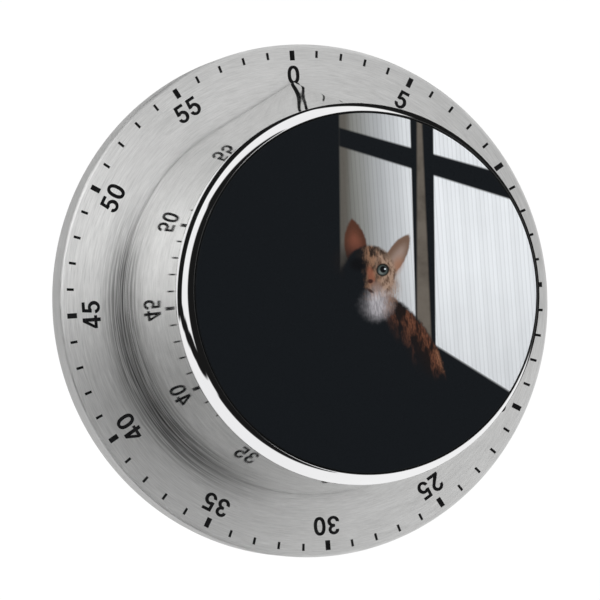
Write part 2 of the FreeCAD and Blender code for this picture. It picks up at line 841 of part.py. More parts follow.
def make_bezel():
    seat, ledge = "hub_top_radius + glue_gap", "bezel_inner - bezel_ledge"
    body = turned_piece(
        "bezel_ring",
        [
            (seat, "shell_front"),
            ("knob_top_radius", "shell_front"),
            ("knob_top_radius", "shell_front + bezel_side"),
            ("bezel_inner + bezel_lip", "bezel_front"),
            ("bezel_inner", "bezel_front"),
            ("bezel_inner", "disc_back"),
            (ledge, "disc_back"),
            (ledge, "hub_front"),
            (seat, "hub_front"),
        ],
    )
    fillet(body, "knob_top_radius", "shell_front + bezel_side", "bezel_shoulder_round")
    fillet(body, "bezel_inner + bezel_lip", "bezel_front", "bezel_lip_round")


def make_picture_disc():
    body = new_body("picture_disc")
    pad_circles(body, [("0", "0", "disc_radius")], "disc_back", "bezel_front + disc_proud")
    fillet(body, "disc_radius", "bezel_front + disc_proud", "disc_round")


def make_main_arbor():
    shoulder = "back_plate_front + shake"
    body = turned_piece(
        "main_arbor",
        [
            ("0", "back_plate_back + shake"),
            ("rear_pivot_radius", "back_plate_back + shake"),
            ("rear_pivot_radius", shoulder),
            ("arbor_radius", shoulder),
            ("arbor_radius", "arbor_front"),
            ("0", "arbor_front"),
        ],
    )
    flat = new_sketch(body, "XY_Plane", "arbor_front")
    low, high = "-arbor_radius - shake", "arbor_radius + shake"
    draw_outline(flat, [("arbor_flat", low), (high, low), (high, high), ("arbor_flat", high)])
    cut(body, flat, "arbor_front - boss_back")


# ---------------------------------------------------------------- movement frame


def plate_holes(hammer_hole):
    """The holes that both plates share, with the hole for the hammer's arbor."""
    pivot = "pivot_radius + pivot_gap"
    holes = on_circle("pillar_circle", PILLAR_ANGLES, "small_hole")
    for name in ("second", "third", "escape", "verge", "lever"):
        holes.append((name + "_x", name + "_y", pivot))
    holes.append(("hammer_x", "hammer_y", hammer_hole))
    return holes


def make_plates():
    back = new_body("back_plate")
    pad_circles(back, [("0", "0", "plate_radius")], "back_plate_back", "back_plate_front")
    holes = plate_holes("thin_arbor_radius + pivot_gap")
    holes.append(("0", "0", "rear_pivot_radius + pivot_gap"))
    drill(back, holes, "back_plate_front", "plate_thickness")
    front = new_body("front_plate")
    pad_circles(front, [("0", "0", "plate_radius")], "front_plate_back", "front_plate_front")
    holes = plate_holes("pivot_radius + pivot_gap")
    holes.append(("0", "0", "bush_outer + press_gap"))
    drill(front, holes, "front_plate_front", "plate_thickness")


def make_frame_parts():
    turned_piece(
        "front_bush",
        [
            ("bush_inner", "front_plate_back - bush_flange_thickness"),
            ("bush_outer + bush_flange", "front_plate_back - bush_flange_thickness"),
            ("bush_outer + bush_flange", "front_plate_back"),
            ("bush_outer", "front_plate_back"),
            ("bush_outer", "front_plate_front + shake"),
            ("bush_inner", "front_plate_front + shake"),
        ],
    )
    circle = value("pillar_circle")
    pillar = tube(value("pillar_radius"), value("small_hole"), 0, value("plate_spacing"))
    pillars = around(pillar, circle, PILLAR_ANGLES, value("back_plate_front"))
    shape_piece("plate_pillars", pillars)
    head_radius, head_height = value("small_head_radius"), value("small_head_height")
    shank = value("small_screw_radius")
    grip = value("small_screw_grip")
    screw = slotted_screw(head_radius, head_height, shank, value("plate_thickness") + grip)
    heads = value("back_plate_back") - head_height
    shape_piece("back_plate_screws", around(screw, circle, PILLAR_ANGLES, heads))
    reach = value("tower_front - front_plate_back") + grip
    screw = slotted_screw(head_radius, head_height, shank, reach)
    screw = screw.rotated(Vector(0, 0, 0), Vector(1, 0, 0), 180)
    heads = value("tower_front") + head_height
    shape_piece("movement_screws", around(screw, circle, PILLAR_ANGLES, heads))
    washer = tube(
        value("hub_boss_radius"),
        value("arbor_radius + ring_gap"),
        value("tower_front"),
        value("tower_front + washer_thickness"),
    )
    shape_piece("knob_washer", washer)


# ---------------------------------------------------------------- going train


def arbor(foot):
    """A thin arbor with a pivot at each plate, from a height near the back."""
    body = tube(value("thin_arbor_radius"), 0, foot, value("front_plate_back - shake"))
    front_pivot = tube(value("pivot_radius"), 0, foot, value("front_plate_front"))
    return body.fuse(front_pivot)


def pivoted_arbor():
    """A thin arbor that runs in both plates."""
    rear_pivot = tube(
        value("pivot_radius"), 0, value("back_plate_back"), value("back_plate_front + shake")
    )
    return arbor(value("back_plate_front + shake")).fuse(rear_pivot).removeSplitter()


def pinion_piece(label, at, module, phase, wheel_back):
    """An arbor with its pinion cut from the same steel."""
    margin = value("pinion_margin")
    back, front = wheel_back - margin, wheel_back + value("wheel_thickness") + margin
    teeth = gear(module, value("pinion_teeth"), phase, back, front)
    shape_piece(label, teeth.fuse(pivoted_arbor()), at)


def wheel_rim(module, teeth):
    """The inner radius of a crossed-out wheel's rim."""
    return module * (teeth / 2 - value("rim_modules"))


def wheel_solid(module, teeth, back, hole, hub):
    """A crossed-out brass wheel with one tooth centred towards +X."""
    front = back + value("wheel_thickness")
    solid = gear(module, teeth, 0, back, front)
    rim = wheel_rim(module, teeth)
    solid = crossed_out(solid, rim, hub, int(value("wheel_arms")), back, front)
    return solid.cut(tube(hole, 0, back, front))


def make_train():
    centre = Vector(0, 0, 0)
    second, third, escape = place("second"), place("third"), place("escape")
    pinion = value("pinion_teeth")
    hole = value("thin_arbor_radius + press_gap")
    hub = value("thin_arbor_radius * wheel_hub_ratio")
    great_back, second_back = value("great_back"), value("second_back")
    third_back, escape_back = value("third_back"), value("escape_back")
    great_module, second_module = value("great_module"), value("second_module")
    third_module = value("third_module")
    great_teeth, second_teeth = value("great_teeth"), value("second_teeth")
    third_teeth = value("third_teeth")

    phase = mesh_phase(bearing(centre, second), 0, great_teeth, pinion)
    pinion_piece("second_pinion", second, great_module, phase, great_back)
    wheel = wheel_solid(second_module, second_teeth, second_back, hole, hub)
    shape_piece("second_wheel", wheel, second)

    phase = mesh_phase(bearing(second, third), 0, second_teeth, pinion)
    pinion_piece("third_pinion", third, second_module, phase, second_back)
    wheel = wheel_solid(third_module, third_teeth, third_back, hole, hub)
    shape_piece("third_wheel", wheel, third)

    phase = mesh_phase(bearing(third, escape), 0, third_teeth, pinion)
    pinion_piece("escape_pinion", escape, third_module, phase, third_back)
    make_escape_wheel(escape, escape_back, hole)


def make_escape_wheel(at, back, hole):
    teeth = value("escape_teeth")
    front = back + value("wheel_thickness")
    quarter_pitch = 90 / teeth
    phase = value("verge_angle + verge_pin_angle") + quarter_pitch
    tip, depth = value("escape_radius"), value("escape_tooth_depth")
    solid = saw_wheel(tip, depth, teeth, 0, phase, back, front)
    shape_piece("escape_wheel", solid.cut(tube(hole, 0, back, front)), at)


def make_great_wheel():
    """The great wheel, the ratchet on the arbor behind it, its click and the click's spring."""
    back, front = value("great_back"), value("great_back + wheel_thickness")
    module, teeth = value("great_module"), value("great_teeth")
    hole, hub = value("arbor_radius + press_gap"), value("ratchet_radius + great_hub_margin")
    solid = wheel_solid(module, teeth, back, hole, hub)
    rivet_at = polar((wheel_rim(module, teeth) + hub) / 2, 0)
    rivet_radius = value("click_rivet_radius")
    solid = solid.cut(tube(rivet_radius + value("press_gap"), 0, back, front, rivet_at))
    shape_piece("great_wheel", solid)

    low = value("ratchet_back")
    high = low + value("ratchet_thickness")
    tip, depth = value("ratchet_radius"), value("ratchet_tooth_depth")
    lean = value("ratchet_lean")
    ratchet = saw_wheel(tip, depth, value("ratchet_teeth"), lean, 0, low, high)
    shape_piece("ratchet_wheel", ratchet.cut(tube(hole, 0, low, high)))

    tip_at = polar(tip + value("click_tip_gap"), value("click_tip_angle"))
    root_radius, tip_radius = value("click_root_radius"), value("click_tip_radius")
    click = link(rivet_at, root_radius, tip_at, tip_radius, low, high)
    click = click.fuse(tube(rivet_radius, 0, low, front, rivet_at)).removeSplitter()
    shape_piece("click", click)
    start = polar(rivet_at.x + value("click_spring_offset"), value("click_spring_start_angle"))
    end = polar(rivet_at.x, value("click_spring_end_angle"))
    foot, tip_radius = value("click_spring_foot"), value("click_spring_tip")
    high = low + value("click_spring_thickness")
    shape_piece("click_spring", link(start, foot, end, tip_radius, low, high))


def make_mainspring():
    """A steel strip coiled around the arbor, with the post that holds its outer end."""
    inner, outer = value("spring_inner_radius"), value("spring_outer_radius")
    turns, strip = value("spring_turns"), value("spring_strip")
    steps = int(turns * SPRING_STEPS_PER_TURN)

    def spiral(offset):
        curve = Part.BSplineCurve()
        points = []
        for step in range(steps + 1):
            radius = inner + (outer - inner) * step / steps + offset
            points.append(polar(radius, 360 * step / SPRING_STEPS_PER_TURN))
        curve.interpolate(points)
        return curve, points[0], points[-1]

    near, near_start, near_end = spiral(0)
    far, far_start, far_end = spiral(strip)
    edges = [
        near.toShape(),
        Part.LineSegment(near_end, far_end).toShape(),
        far.toShape(),
        Part.LineSegment(far_start, near_start).toShape(),
    ]
    back = value("spring_back")
    face = Part.Face(Part.Wire(Part.__sortEdges__(edges)))
    face.translate(Vector(0, 0, back))
    shape_piece("mainspring", face.extrude(Vector(0, 0, value("spring_width"))))
    post_radius = value("pivot_radius")
    post_at = polar(outer + strip + post_radius + value("shake"), 0)
    post = tube(post_radius, 0, back, value("front_plate_back"), post_at)
    shape_piece("spring_post", post)


def make_verge():
    """The verge: a plate with two pins astride the escape wheel, and its swinging weight."""
    at, escape = place("verge"), place("escape")
    hole = value("thin_arbor_radius + press_gap")
    back, front = value("verge_back"), value("verge_back + verge_thickness")
    pin_radius = value("verge_pin_radius")
    pin_circle = value("escape_radius + verge_pin_radius + verge_pin_gap")
    toward = value("verge_angle")
    centre = Vector(0, 0, 0)
    plate = tube(value("thin_arbor_radius * verge_hub_ratio"), 0, back, front)
    arm_root, arm_tip = value("verge_arm_root"), value("verge_arm_tip")
    pins = []
    for side in (-1, 1):
        pin_at = escape + polar(pin_circle, toward + side * value("verge_pin_angle")) - at
        plate = plate.fuse(link(centre, arm_root, pin_at, arm_tip, back, front))
        pins.append(tube(pin_radius, 0, value("escape_back"), front, pin_at))
    plate = plate.fuse(pins).removeSplitter().cut(tube(hole, 0, back, front))
    shape_piece("verge", plate, at)
    shape_piece("verge_arbor", pivoted_arbor(), at)
    back = value("weight_back")
    front = back + value("weight_thickness")
    root, tip = value("weight_root"), value("weight_tip")
    weight = tube(root, 0, back, front)
    for side in (-1, 1):
        end = polar(side * value("weight_reach"), toward + 90)
        weight = weight.fuse(link(centre, root, end, tip, back, front))
    weight = weight.removeSplitter().cut(tube(hole, 0, back, front))
    shape_piece("verge_weight", weight, at)


# ---------------------------------------------------------------- alarm


def make_alarm():
    """The trip cam on the main arbor and the lever whose finger drops into its notch."""
    back, front = value("cam_back"), value("cam_back + cam_thickness")
    radius = value("cam_radius")
    cam = tube(radius, value("arbor_radius + press_gap"), back, front)
    half_width, depth = value("cam_notch_half_width"), value("cam_notch_depth")
    mouth = radius + value("cam_notch_mouth")
    notch = [
        Vector(0, depth - radius, 0),
        Vector(half_width, -mouth, 0),
        Vector(-half_width, -mouth, 0),
    ]
    shape_piece("trip_cam", cam.cut(prism(notch, back, front)))

    at = place("lever")
    finger_radius = value("lever_finger_radius")
    finger = Vector(0, -(radius + value("lever_gap") + finger_radius), 0) - at
    elbow = Vector(finger.x + value("lever_elbow_shift"), -value("lever_elbow_drop"), 0)
    root_radius, elbow_radius = value("lever_root_radius"), value("lever_elbow_radius")
    lever = link(Vector(0, 0, 0), root_radius, elbow, elbow_radius, back, front)
    lever = lever.fuse(link(elbow, elbow_radius, finger, finger_radius, back, front))
    lever = lever.removeSplitter()
    hole = value("thin_arbor_radius + press_gap")
    shape_piece("alarm_lever", lever.cut(tube(hole, 0, back, front)), at)
    shape_piece("lever_arbor", pivoted_arbor(), at)


def make_gong():
    hole, wall, shoulder = "small_hole", "gong_wall", "gong_shoulder"
    inside, bend = f"gong_radius - {wall}", f"{wall} * gong_bend_ratio"
    turned_piece(
        "gong",
        [
            (hole, f"gong_front - {wall}"),
            (hole, "gong_front"),
            (f"gong_radius - {shoulder}", "gong_front"),
            ("gong_radius", f"gong_front - {shoulder}"),
            ("gong_radius", "gong_rim"),
            (inside, "gong_rim"),
            (inside, f"gong_front - {shoulder} - {bend}"),
            (f"gong_radius - {shoulder} - {bend}", f"gong_front - {wall}"),
        ],
    )
    post = tube(value("post_radius"), value(hole), value("gong_front"), value("back_plate_back"))
    shape_piece("gong_post", post)
    head_height = value("small_head_height")
    screw = slotted_screw(
        value("small_head_radius"),
        head_height,
        value("small_screw_radius"),
        value("gong_wall + post_length") - value("shake"),
    )
    screw.translate(Vector(0, 0, value("gong_front - gong_wall") - head_height))
    shape_piece("gong_screw", screw)


def make_hammer():
    """The hammer on its own arbor, beside the gong's rim."""
    at = place("hammer")
    back = value("gong_rim")
    head_at = polar(
        value("gong_radius + hammer_gap + hammer_radius"), value("hammer_head_angle")
    )
    head_at = head_at - at
    head_back = back + value("hammer_lift")
    head_front = head_back + value("hammer_height")
    arm_back = back + value("hammer_arm_lift")
    arm_front = arm_back + value("hammer_arm_thickness")
    pin_radius = value("hammer_pin_radius")
    hole = value("thin_arbor_radius + press_gap")
    root, tip = value("hammer_arm_root"), value("hammer_arm_tip")
    arm = link(Vector(0, 0, 0), root, head_at, tip, arm_back, arm_front)
    arm = arm.cut(tube(hole, 0, arm_back, arm_front))
    arm = arm.cut(tube(pin_radius + value("press_gap"), 0, arm_back, arm_front, head_at))
    shape_piece("hammer_arm", arm, at)
    radius = value("hammer_radius")
    head = tube(radius, 0, arm_front, head_front, head_at)
    head = head.fuse(tube(pin_radius, 0, head_back, head_front, head_at))
    shape_piece("hammer_head", head.removeSplitter(), at)
    foot = arm_back - value("hammer_lift")
    shape_piece("hammer_arbor", arbor(foot).removeSplitter(), at)


# ---------------------------------------------------------------- build and write

make_magnet()
make_back_cover()
make_dial_ring()
make_housing()
make_case_screws()
make_knob_shell()
make_knob_hub()
make_bezel()
make_picture_disc()
make_main_arbor()
make_plates()
make_frame_parts()
make_train()
make_great_wheel()
make_mainspring()
make_verge()
make_alarm()
make_gong()
make_hammer()
document.recompute()

failed = [item.Name for item in document.Objects if {"Invalid", "Error"} & set(item.State)]
if failed:
    raise RuntimeError(f"features failed: {failed}")
for piece in sub_parts:
    if piece.Shape.isNull() or not piece.Shape.isValid():
        raise RuntimeError(f"{piece.Label}: no valid shape")

os.makedirs("parts", exist_ok=True)
for piece in sub_parts:
    piece.Shape.exportStep(os.path.join("parts", piece.Label + ".step"))
print(f"{len(sub_parts)} sub-parts")
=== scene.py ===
"""Kitchen timer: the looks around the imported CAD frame, in metres, dial facing -Y."""

import json
import math

import bmesh
import bpy
from mathutils import Matrix, Vector


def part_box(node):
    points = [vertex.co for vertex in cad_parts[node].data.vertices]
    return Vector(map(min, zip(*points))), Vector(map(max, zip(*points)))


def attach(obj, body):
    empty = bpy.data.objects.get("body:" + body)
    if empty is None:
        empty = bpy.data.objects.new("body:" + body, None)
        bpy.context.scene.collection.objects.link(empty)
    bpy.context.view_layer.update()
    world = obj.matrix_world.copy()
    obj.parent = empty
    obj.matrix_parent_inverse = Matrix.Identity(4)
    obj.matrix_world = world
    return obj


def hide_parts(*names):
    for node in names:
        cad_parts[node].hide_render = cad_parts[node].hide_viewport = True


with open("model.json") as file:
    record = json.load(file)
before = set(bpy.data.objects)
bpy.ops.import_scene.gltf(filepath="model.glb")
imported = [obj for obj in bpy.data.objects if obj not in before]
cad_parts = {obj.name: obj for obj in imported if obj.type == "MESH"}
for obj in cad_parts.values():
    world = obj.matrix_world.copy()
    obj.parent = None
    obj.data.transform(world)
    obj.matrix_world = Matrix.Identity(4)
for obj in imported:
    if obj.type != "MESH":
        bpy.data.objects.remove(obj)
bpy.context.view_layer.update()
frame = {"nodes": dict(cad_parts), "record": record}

MM = 0.001
MINUTES = 60
SCENE = bpy.context.scene
NODES = frame["nodes"]


# ---------------------------------------------------------------- sizes read from the frame


def front(node):
    """How far a node's front lies from the plane of the magnet's rear face."""
    return -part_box(node)[0].y


def back(node):
    return -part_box(node)[1].y


def reach(node):
    """A turned node's outer radius."""
    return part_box(node)[1].x


RING_RADIUS, RING_FACE, RING_BACK = reach("dial_ring"), front("dial_ring"), back("dial_ring")
RING_WALL, RING_EDGE = 0.6 * MM, 0.55 * MM
RING_HOLE = 24.81 * MM
KNOB_FRONT, KNOB_BACK = front("knob_shell"), back("knob_shell")
KNOB_BASE, KNOB_TOP = reach("knob_shell"), reach("bezel_ring")
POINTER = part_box("knob_shell")[1].z
KNOB_WALL = 0.6 * MM
BEZEL_FRONT = front("bezel_ring")
DISC_RADIUS, DISC_FRONT, DISC_BACK = reach("picture_disc"), front("picture_disc"), back("picture_disc")


# ---------------------------------------------------------------- mesh helpers


def dial_point(radius, minute, depth):
    """A point on the dial: radius from the arbor, minute mark clockwise from zero, depth from the wall."""
    turn = minute / MINUTES * math.tau
    return Vector((radius * math.sin(turn), -depth, radius * math.cos(turn)))


def new_object(name, mesh, body, sharp=35):
    """Links a mesh as a smooth-shaded piece that rides on a body."""
    piece = bpy.data.objects.new(name, mesh)
    SCENE.collection.objects.link(piece)
    for face in mesh.polygons:
        face.use_smooth = True
    mesh.set_sharp_from_angle(angle=math.radians(sharp))
    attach(piece, body)
    return piece


def loft(name, loops, closed, body, sharp=35):
    """A skin through loops of points; closed joins the last loop to the first."""
    count = len(loops[0])
    vertices = [point for loop in loops for point in loop]
    faces = []
    pairs = list(zip(range(len(loops)), range(1, len(loops))))
    if closed:
        pairs.append((len(loops) - 1, 0))
    for low, high in pairs:
        for i in range(count):
            j = (i + 1) % count
            faces.append((low * count + i, low * count + j, high * count + j, high * count + i))
    mesh = bpy.data.meshes.new(name)
    mesh.from_pydata(vertices, [], faces)
    bm = bmesh.new()
    bm.from_mesh(mesh)
    bmesh.ops.recalc_face_normals(bm, faces=bm.faces)
    bm.to_mesh(mesh)
    bm.free()
    return new_object(name, mesh, body, sharp)


def turned(name, profile, body, steps=480, sharp=35):
    """A closed profile of (radius, depth) turned round the arbor."""
    loops = [
        [dial_point(radius, MINUTES * i / steps, depth) for i in range(steps)]
        for radius, depth in profile
    ]
    return loft(name, loops, True, body, sharp)


def arc(centre, radius, start, end, steps=8):
    """Points of a profile arc, angles in degrees from the radial direction towards the front."""
    points = []
    for i in range(steps + 1):
        at = math.radians(start + (end - start) * i / steps)
        points.append((centre[0] + radius * math.cos(at), centre[1] + radius * math.sin(at)))
    return points


# ---------------------------------------------------------------- material helpers


NOISE_ROUGHNESS = 0.55


class Paint:
    """A material's node tree, with short names for what the finishes use."""

    def __init__(self, name, colour, roughness, metallic=0.0, **sockets):
        self.material = bpy.data.materials.new(name)
        self.material.use_nodes = True
        self.material.diffuse_color = (*colour, 1)
        self.tree = self.material.node_tree
        self.shader = self.tree.nodes["Principled BSDF"]
        self.shader.inputs["Base Color"].default_value = (*colour, 1)
        self.shader.inputs["Roughness"].default_value = roughness
        self.shader.inputs["Metallic"].default_value = metallic
        for socket, value in sockets.items():
            self.shader.inputs[socket.replace("_", " ")].default_value = value
        self.coordinates = self.node("ShaderNodeTexCoord").outputs["Object"]

    def node(self, kind, **settings):
        made = self.tree.nodes.new(kind)
        for key, value in settings.items():
            setattr(made, key, value)
        return made

    def link(self, source, target):
        if hasattr(source, "links"):
            self.tree.links.new(source, target)
        else:
            target.default_value = source

    def maths(self, operation, *values):
        made = self.node("ShaderNodeMath", operation=operation)
        for socket, value in zip(made.inputs, values):
            self.link(value, socket)
        return made.outputs[0]

    def add(self, first, second):
        return self.maths("ADD", first, second)

    def times(self, first, second):
        return self.maths("MULTIPLY", first, second)

    def length(self, first, second):
        """How long the vector (first, second) is."""
        return self.maths("SQRT", self.add(self.times(first, first), self.times(second, second)))

    def split(self):
        made = self.node("ShaderNodeSeparateXYZ")
        self.link(self.coordinates, made.inputs[0])
        return made.outputs

    def join(self, *values):
        made = self.node("ShaderNodeCombineXYZ")
        for socket, value in zip(made.inputs, values):
            self.link(value, socket)
        return made.outputs[0]

    def stretch(self, scale):
        made = self.node("ShaderNodeMapping")
        self.link(self.coordinates, made.inputs["Vector"])
        made.inputs["Scale"].default_value = scale
        return made.outputs[0]

    def noise(self, scale, detail=3.0, vector=None):
        made = self.node("ShaderNodeTexNoise")
        self.link(vector or self.coordinates, made.inputs["Vector"])
        made.inputs["Scale"].default_value = scale
        made.inputs["Detail"].default_value = detail
        made.inputs["Roughness"].default_value = NOISE_ROUGHNESS
        return made.outputs["Fac"]

    def ramp(self, value, low, high, low_to=0.0, high_to=1.0, smooth=True):
        made = self.node("ShaderNodeMapRange", interpolation_type="SMOOTHSTEP" if smooth else "LINEAR")
        for socket, number in zip(made.inputs, (value, low, high, low_to, high_to)):
            self.link(number, socket)
        return made.outputs[0]

    def mix(self, amount, first, second, blend="MIX"):
        made = self.node("ShaderNodeMix", data_type="RGBA", blend_type=blend)
        self.link(amount, made.inputs[0])
        for socket, value in ((made.inputs[6], first), (made.inputs[7], second)):
            if isinstance(value, tuple) and len(value) == 3:
                value = (*value, 1)
            self.link(value, socket)
        return made.outputs[2]

    def colour(self, source):
        self.link(source, self.shader.inputs["Base Color"])

    def rough(self, source):
        self.link(source, self.shader.inputs["Roughness"])

    def bump(self, height, distance, strength=1.0):
        made = self.node("ShaderNodeBump")
        made.inputs["Strength"].default_value = strength
        made.inputs["Distance"].default_value = distance
        self.link(height, made.inputs["Height"])
        self.link(made.outputs[0], self.shader.inputs["Normal"])

    def round_brush(self, fine, length, along):
        """Noise drawn out in circles round the arbor: fine lines per metre, along is the other coordinate."""
        x, y, z = self.split()
        radius = self.length(x, z)
        across = self.times(y if along else radius, fine)
        cos = self.times(self.maths("DIVIDE", z, radius), length)
        sin = self.times(self.maths("DIVIDE", x, radius), length)
        return self.join(across, cos, sin)


def neck_marks(paint):
    """Painted shade close to the knob, strongest at its lower left, laid on as darker brush lines: it stands
    in for the knob's dark reflection in the ring's face.
    """
    x, y, z = paint.split()
    radius = paint.length(x, z)
    aim = paint.add(paint.times(x, -0.944), paint.times(z, -0.330))
    side = paint.ramp(paint.maths("DIVIDE", aim, radius), 0.5, 0.98)
    deep = paint.ramp(radius, 29.2 * MM, 33.0 * MM, 1.0, 0.0)
    lines = paint.ramp(paint.noise(1.0, 3.0, paint.round_brush(5200, 2.2, False)), 0.36, 0.62, 0.3, 1.0)
    dark = paint.times(paint.times(side, deep), lines)
    return paint.maths("MULTIPLY_ADD", dark, -0.8, 1.0)


def brushed_steel(name, colour, roughness, along, anisotropy, relief, neck_shade=False):
    """Stainless steel brushed round the arbor, with fine lines, coarser streaks and a few fingermarks, and,
    when asked, painted shade near the knob.
    """
    paint = Paint(name, colour, roughness, 1.0, Anisotropic=anisotropy, Anisotropic_Rotation=0.25)
    fine = paint.noise(1.0, 2.0, paint.round_brush(9000, 14, along))
    streak = paint.noise(1.0, 4.0, paint.round_brush(2600, 7, along))
    broad = paint.noise(1.0, 2.0, paint.round_brush(420, 2.2, along))
    marks = paint.noise(90, 3.0)
    line_tone = paint.ramp(fine, 0.25, 0.75, -0.12, 0.12, False)
    streak_tone = paint.ramp(streak, 0.3, 0.7, -0.11, 0.09, False)
    tone = paint.add(paint.add(line_tone, streak_tone), paint.ramp(broad, 0.3, 0.7, -0.03, 0.02))
    level = paint.add(1.0, tone)
    # Painted shade near the knob, multiplied into the steel's colour.
    if neck_shade:
        level = paint.times(level, neck_marks(paint))
    paint.colour(paint.join(*(paint.times(level, part) for part in colour)))
    streak_rough = paint.ramp(streak, 0.3, 0.7, roughness * 0.8, roughness * 1.25, False)
    paint.rough(paint.add(streak_rough, paint.ramp(marks, 0.55, 0.75, 0, 0.03)))
    paint.bump(paint.add(fine, paint.times(streak, 0.6)), relief * MM, 0.5)
    tangent = paint.node("ShaderNodeTangent", direction_type="RADIAL", axis="Y")
    paint.link(tangent.outputs[0], paint.shader.inputs["Tangent"])
    return paint.material


def plain_metal(name, colour, roughness, grain, tint=None, rotate=False):
    """A stamped, turned or plated metal: mottled plating, rubbed brighter in places, fine scratches."""
    paint = Paint(name, colour, roughness, 1.0)
    cloud = paint.noise(160, 4.0)
    speck = paint.noise(1400, 2.0)
    across = paint.round_brush(4200, 9, False) if rotate else paint.stretch((5200, 700, 500))
    lines = paint.noise(1.0, 3.0, across)
    second = tint or tuple(min(1.0, part * 1.12) for part in colour)
    dark = tuple(part * 0.86 for part in colour)
    mottled = paint.mix(paint.ramp(cloud, 0.35, 0.65), dark, second)
    paint.colour(paint.mix(paint.ramp(lines, 0.35, 0.7, 0, 0.5), mottled, colour))
    cloud_rough = paint.ramp(cloud, 0.3, 0.7, roughness * 0.75, roughness * 1.3)
    paint.rough(paint.add(cloud_rough, paint.ramp(speck, 0.5, 0.7, 0, 0.05)))
    paint.bump(paint.add(lines, paint.times(speck, 0.5)), grain * MM, 0.6)
    return paint.material


def plastic(name, colour, roughness, grain, scale=2600, **sockets):
    """Moulded plastic: fine spark-eroded grain, faint flow marks and rubbed patches."""
    paint = Paint(name, colour, roughness, 0.0, **sockets)
    grit = paint.noise(scale, 2.0)
    flow = paint.noise(70, 4.0)
    worn = tuple(min(1.0, part * 1.35 + 0.006) for part in colour)
    paint.colour(paint.mix(paint.ramp(flow, 0.35, 0.75, 0, 0.6), colour, worn))
    flow_rough = paint.ramp(flow, 0.3, 0.7, roughness * 0.85, roughness * 1.1)
    paint.rough(paint.add(flow_rough, paint.ramp(grit, 0.4, 0.7, 0, 0.06)))
    paint.bump(grit, grain * MM, 0.7)
    return paint.material


def ferrite(name):
    """Sintered ferrite: dark grey, ground flat, with pits and pale dust."""
    paint = Paint(name, (0.035, 0.036, 0.04), 0.5, 0.0)
    grit = paint.noise(1900, 4.0)
    cloud = paint.noise(120, 3.0)
    ground = paint.noise(1.0, 3.0, paint.stretch((4200, 300, 260)))
    tone = paint.mix(paint.ramp(cloud, 0.3, 0.7), (0.03, 0.031, 0.034), (0.055, 0.056, 0.06))
    paint.colour(paint.mix(paint.ramp(grit, 0.62, 0.8, 0, 0.5), tone, (0.11, 0.11, 0.115)))
    paint.rough(paint.ramp(ground, 0.3, 0.7, 0.38, 0.62))
    paint.bump(paint.add(paint.ramp(grit, 0.3, 0.6), paint.times(ground, 0.4)), 0.03 * MM, 0.6)
    return paint.material


def felt(name):
    """Pressed felt: matted fibres with a soft sheen."""
    paint = Paint(name, (0.02, 0.02, 0.022), 0.95, 0.0, Sheen_Weight=0.4, Sheen_Roughness=0.5)
    fibres = paint.noise(2400, 5.0)
    matted = paint.noise(500, 3.0)
    paint.colour(paint.mix(paint.ramp(fibres, 0.35, 0.7), (0.012, 0.012, 0.013), (0.05, 0.05, 0.053)))
    paint.rough(paint.ramp(matted, 0.3, 0.7, 0.88, 1.0))
    paint.bump(fibres, 0.12 * MM, 0.9)
    return paint.material


def chrome(name):
    """Polished chrome, with the faint haze of wiping and a very slight waviness."""
    paint = Paint(name, (0.93, 0.93, 0.94), 0.04, 1.0)
    haze = paint.noise(60, 4.0)
    wiping = paint.noise(1.0, 3.0, paint.round_brush(1500, 5, True))
    paint.colour(paint.mix(paint.ramp(haze, 0.35, 0.7), (0.9, 0.9, 0.91), (0.95, 0.95, 0.955)))
    paint.rough(paint.add(paint.ramp(haze, 0.45, 0.8, 0.02, 0.05), paint.ramp(wiping, 0.6, 0.85, 0, 0.03)))
    paint.bump(paint.noise(45, 1.0), 0.01 * MM, 0.2)
    return paint.material


def ink(name):
    """Screen-printed ink, dark grey, not quite even."""
    paint = Paint(name, (0.006, 0.006, 0.0065), 0.5, 0.0, Specular_IOR_Level=0.08)
    film = paint.noise(900, 4.0)
    paint.colour(paint.mix(paint.ramp(film, 0.4, 0.75), (0.004, 0.004, 0.0045), (0.012, 0.012, 0.013)))
    paint.rough(paint.ramp(film, 0.3, 0.7, 0.42, 0.6))
    paint.bump(film, 0.004 * MM, 0.5)
    return paint.material


FINISHES = {
    # The ring's face carries painted shade near the knob.
    "brushed_steel_ring": brushed_steel(
        "ring_steel_shaded_near_knob", (0.72, 0.72, 0.715), 0.42, along=False, anisotropy=0.9, relief=0.005, neck_shade=True,
    ),
    "brushed_steel_knob": brushed_steel(
        "knob_steel", (0.93, 0.93, 0.925), 0.05, along=True, anisotropy=0.3, relief=0.0006,
    ),
    "bright_chrome": chrome("bezel_chrome"),
    "printed_disc": plastic("disc_edge", (0.004, 0.005, 0.006), 0.6, 0.002, Specular_IOR_Level=0.1),
    "black_plastic": plastic("case_black", (0.018, 0.018, 0.019), 0.55, 0.03),
    "grey_plastic": plastic("hub_grey", (0.2, 0.2, 0.21), 0.5, 0.03),
    "ferrite": ferrite("magnet_ferrite"),
    "zinc_steel": plain_metal("zinc", (0.62, 0.64, 0.68), 0.28, 0.01, rotate=True),
    "plate_steel": plain_metal("plate", (0.6, 0.6, 0.59), 0.32, 0.01),
    "hard_steel": plain_metal("turned_steel", (0.5, 0.51, 0.52), 0.25, 0.008, rotate=True),
    "spring_steel": plain_metal("blued_steel", (0.16, 0.19, 0.27), 0.3, 0.008, tint=(0.28, 0.25, 0.3)),
    "brass": plain_metal("brass", (0.78, 0.57, 0.26), 0.27, 0.01, tint=(0.86, 0.68, 0.36), rotate=True),
    "gong_steel": plain_metal("nickel", (0.68, 0.66, 0.62), 0.2, 0.006, rotate=True),
    "felt": felt("felt"),
}
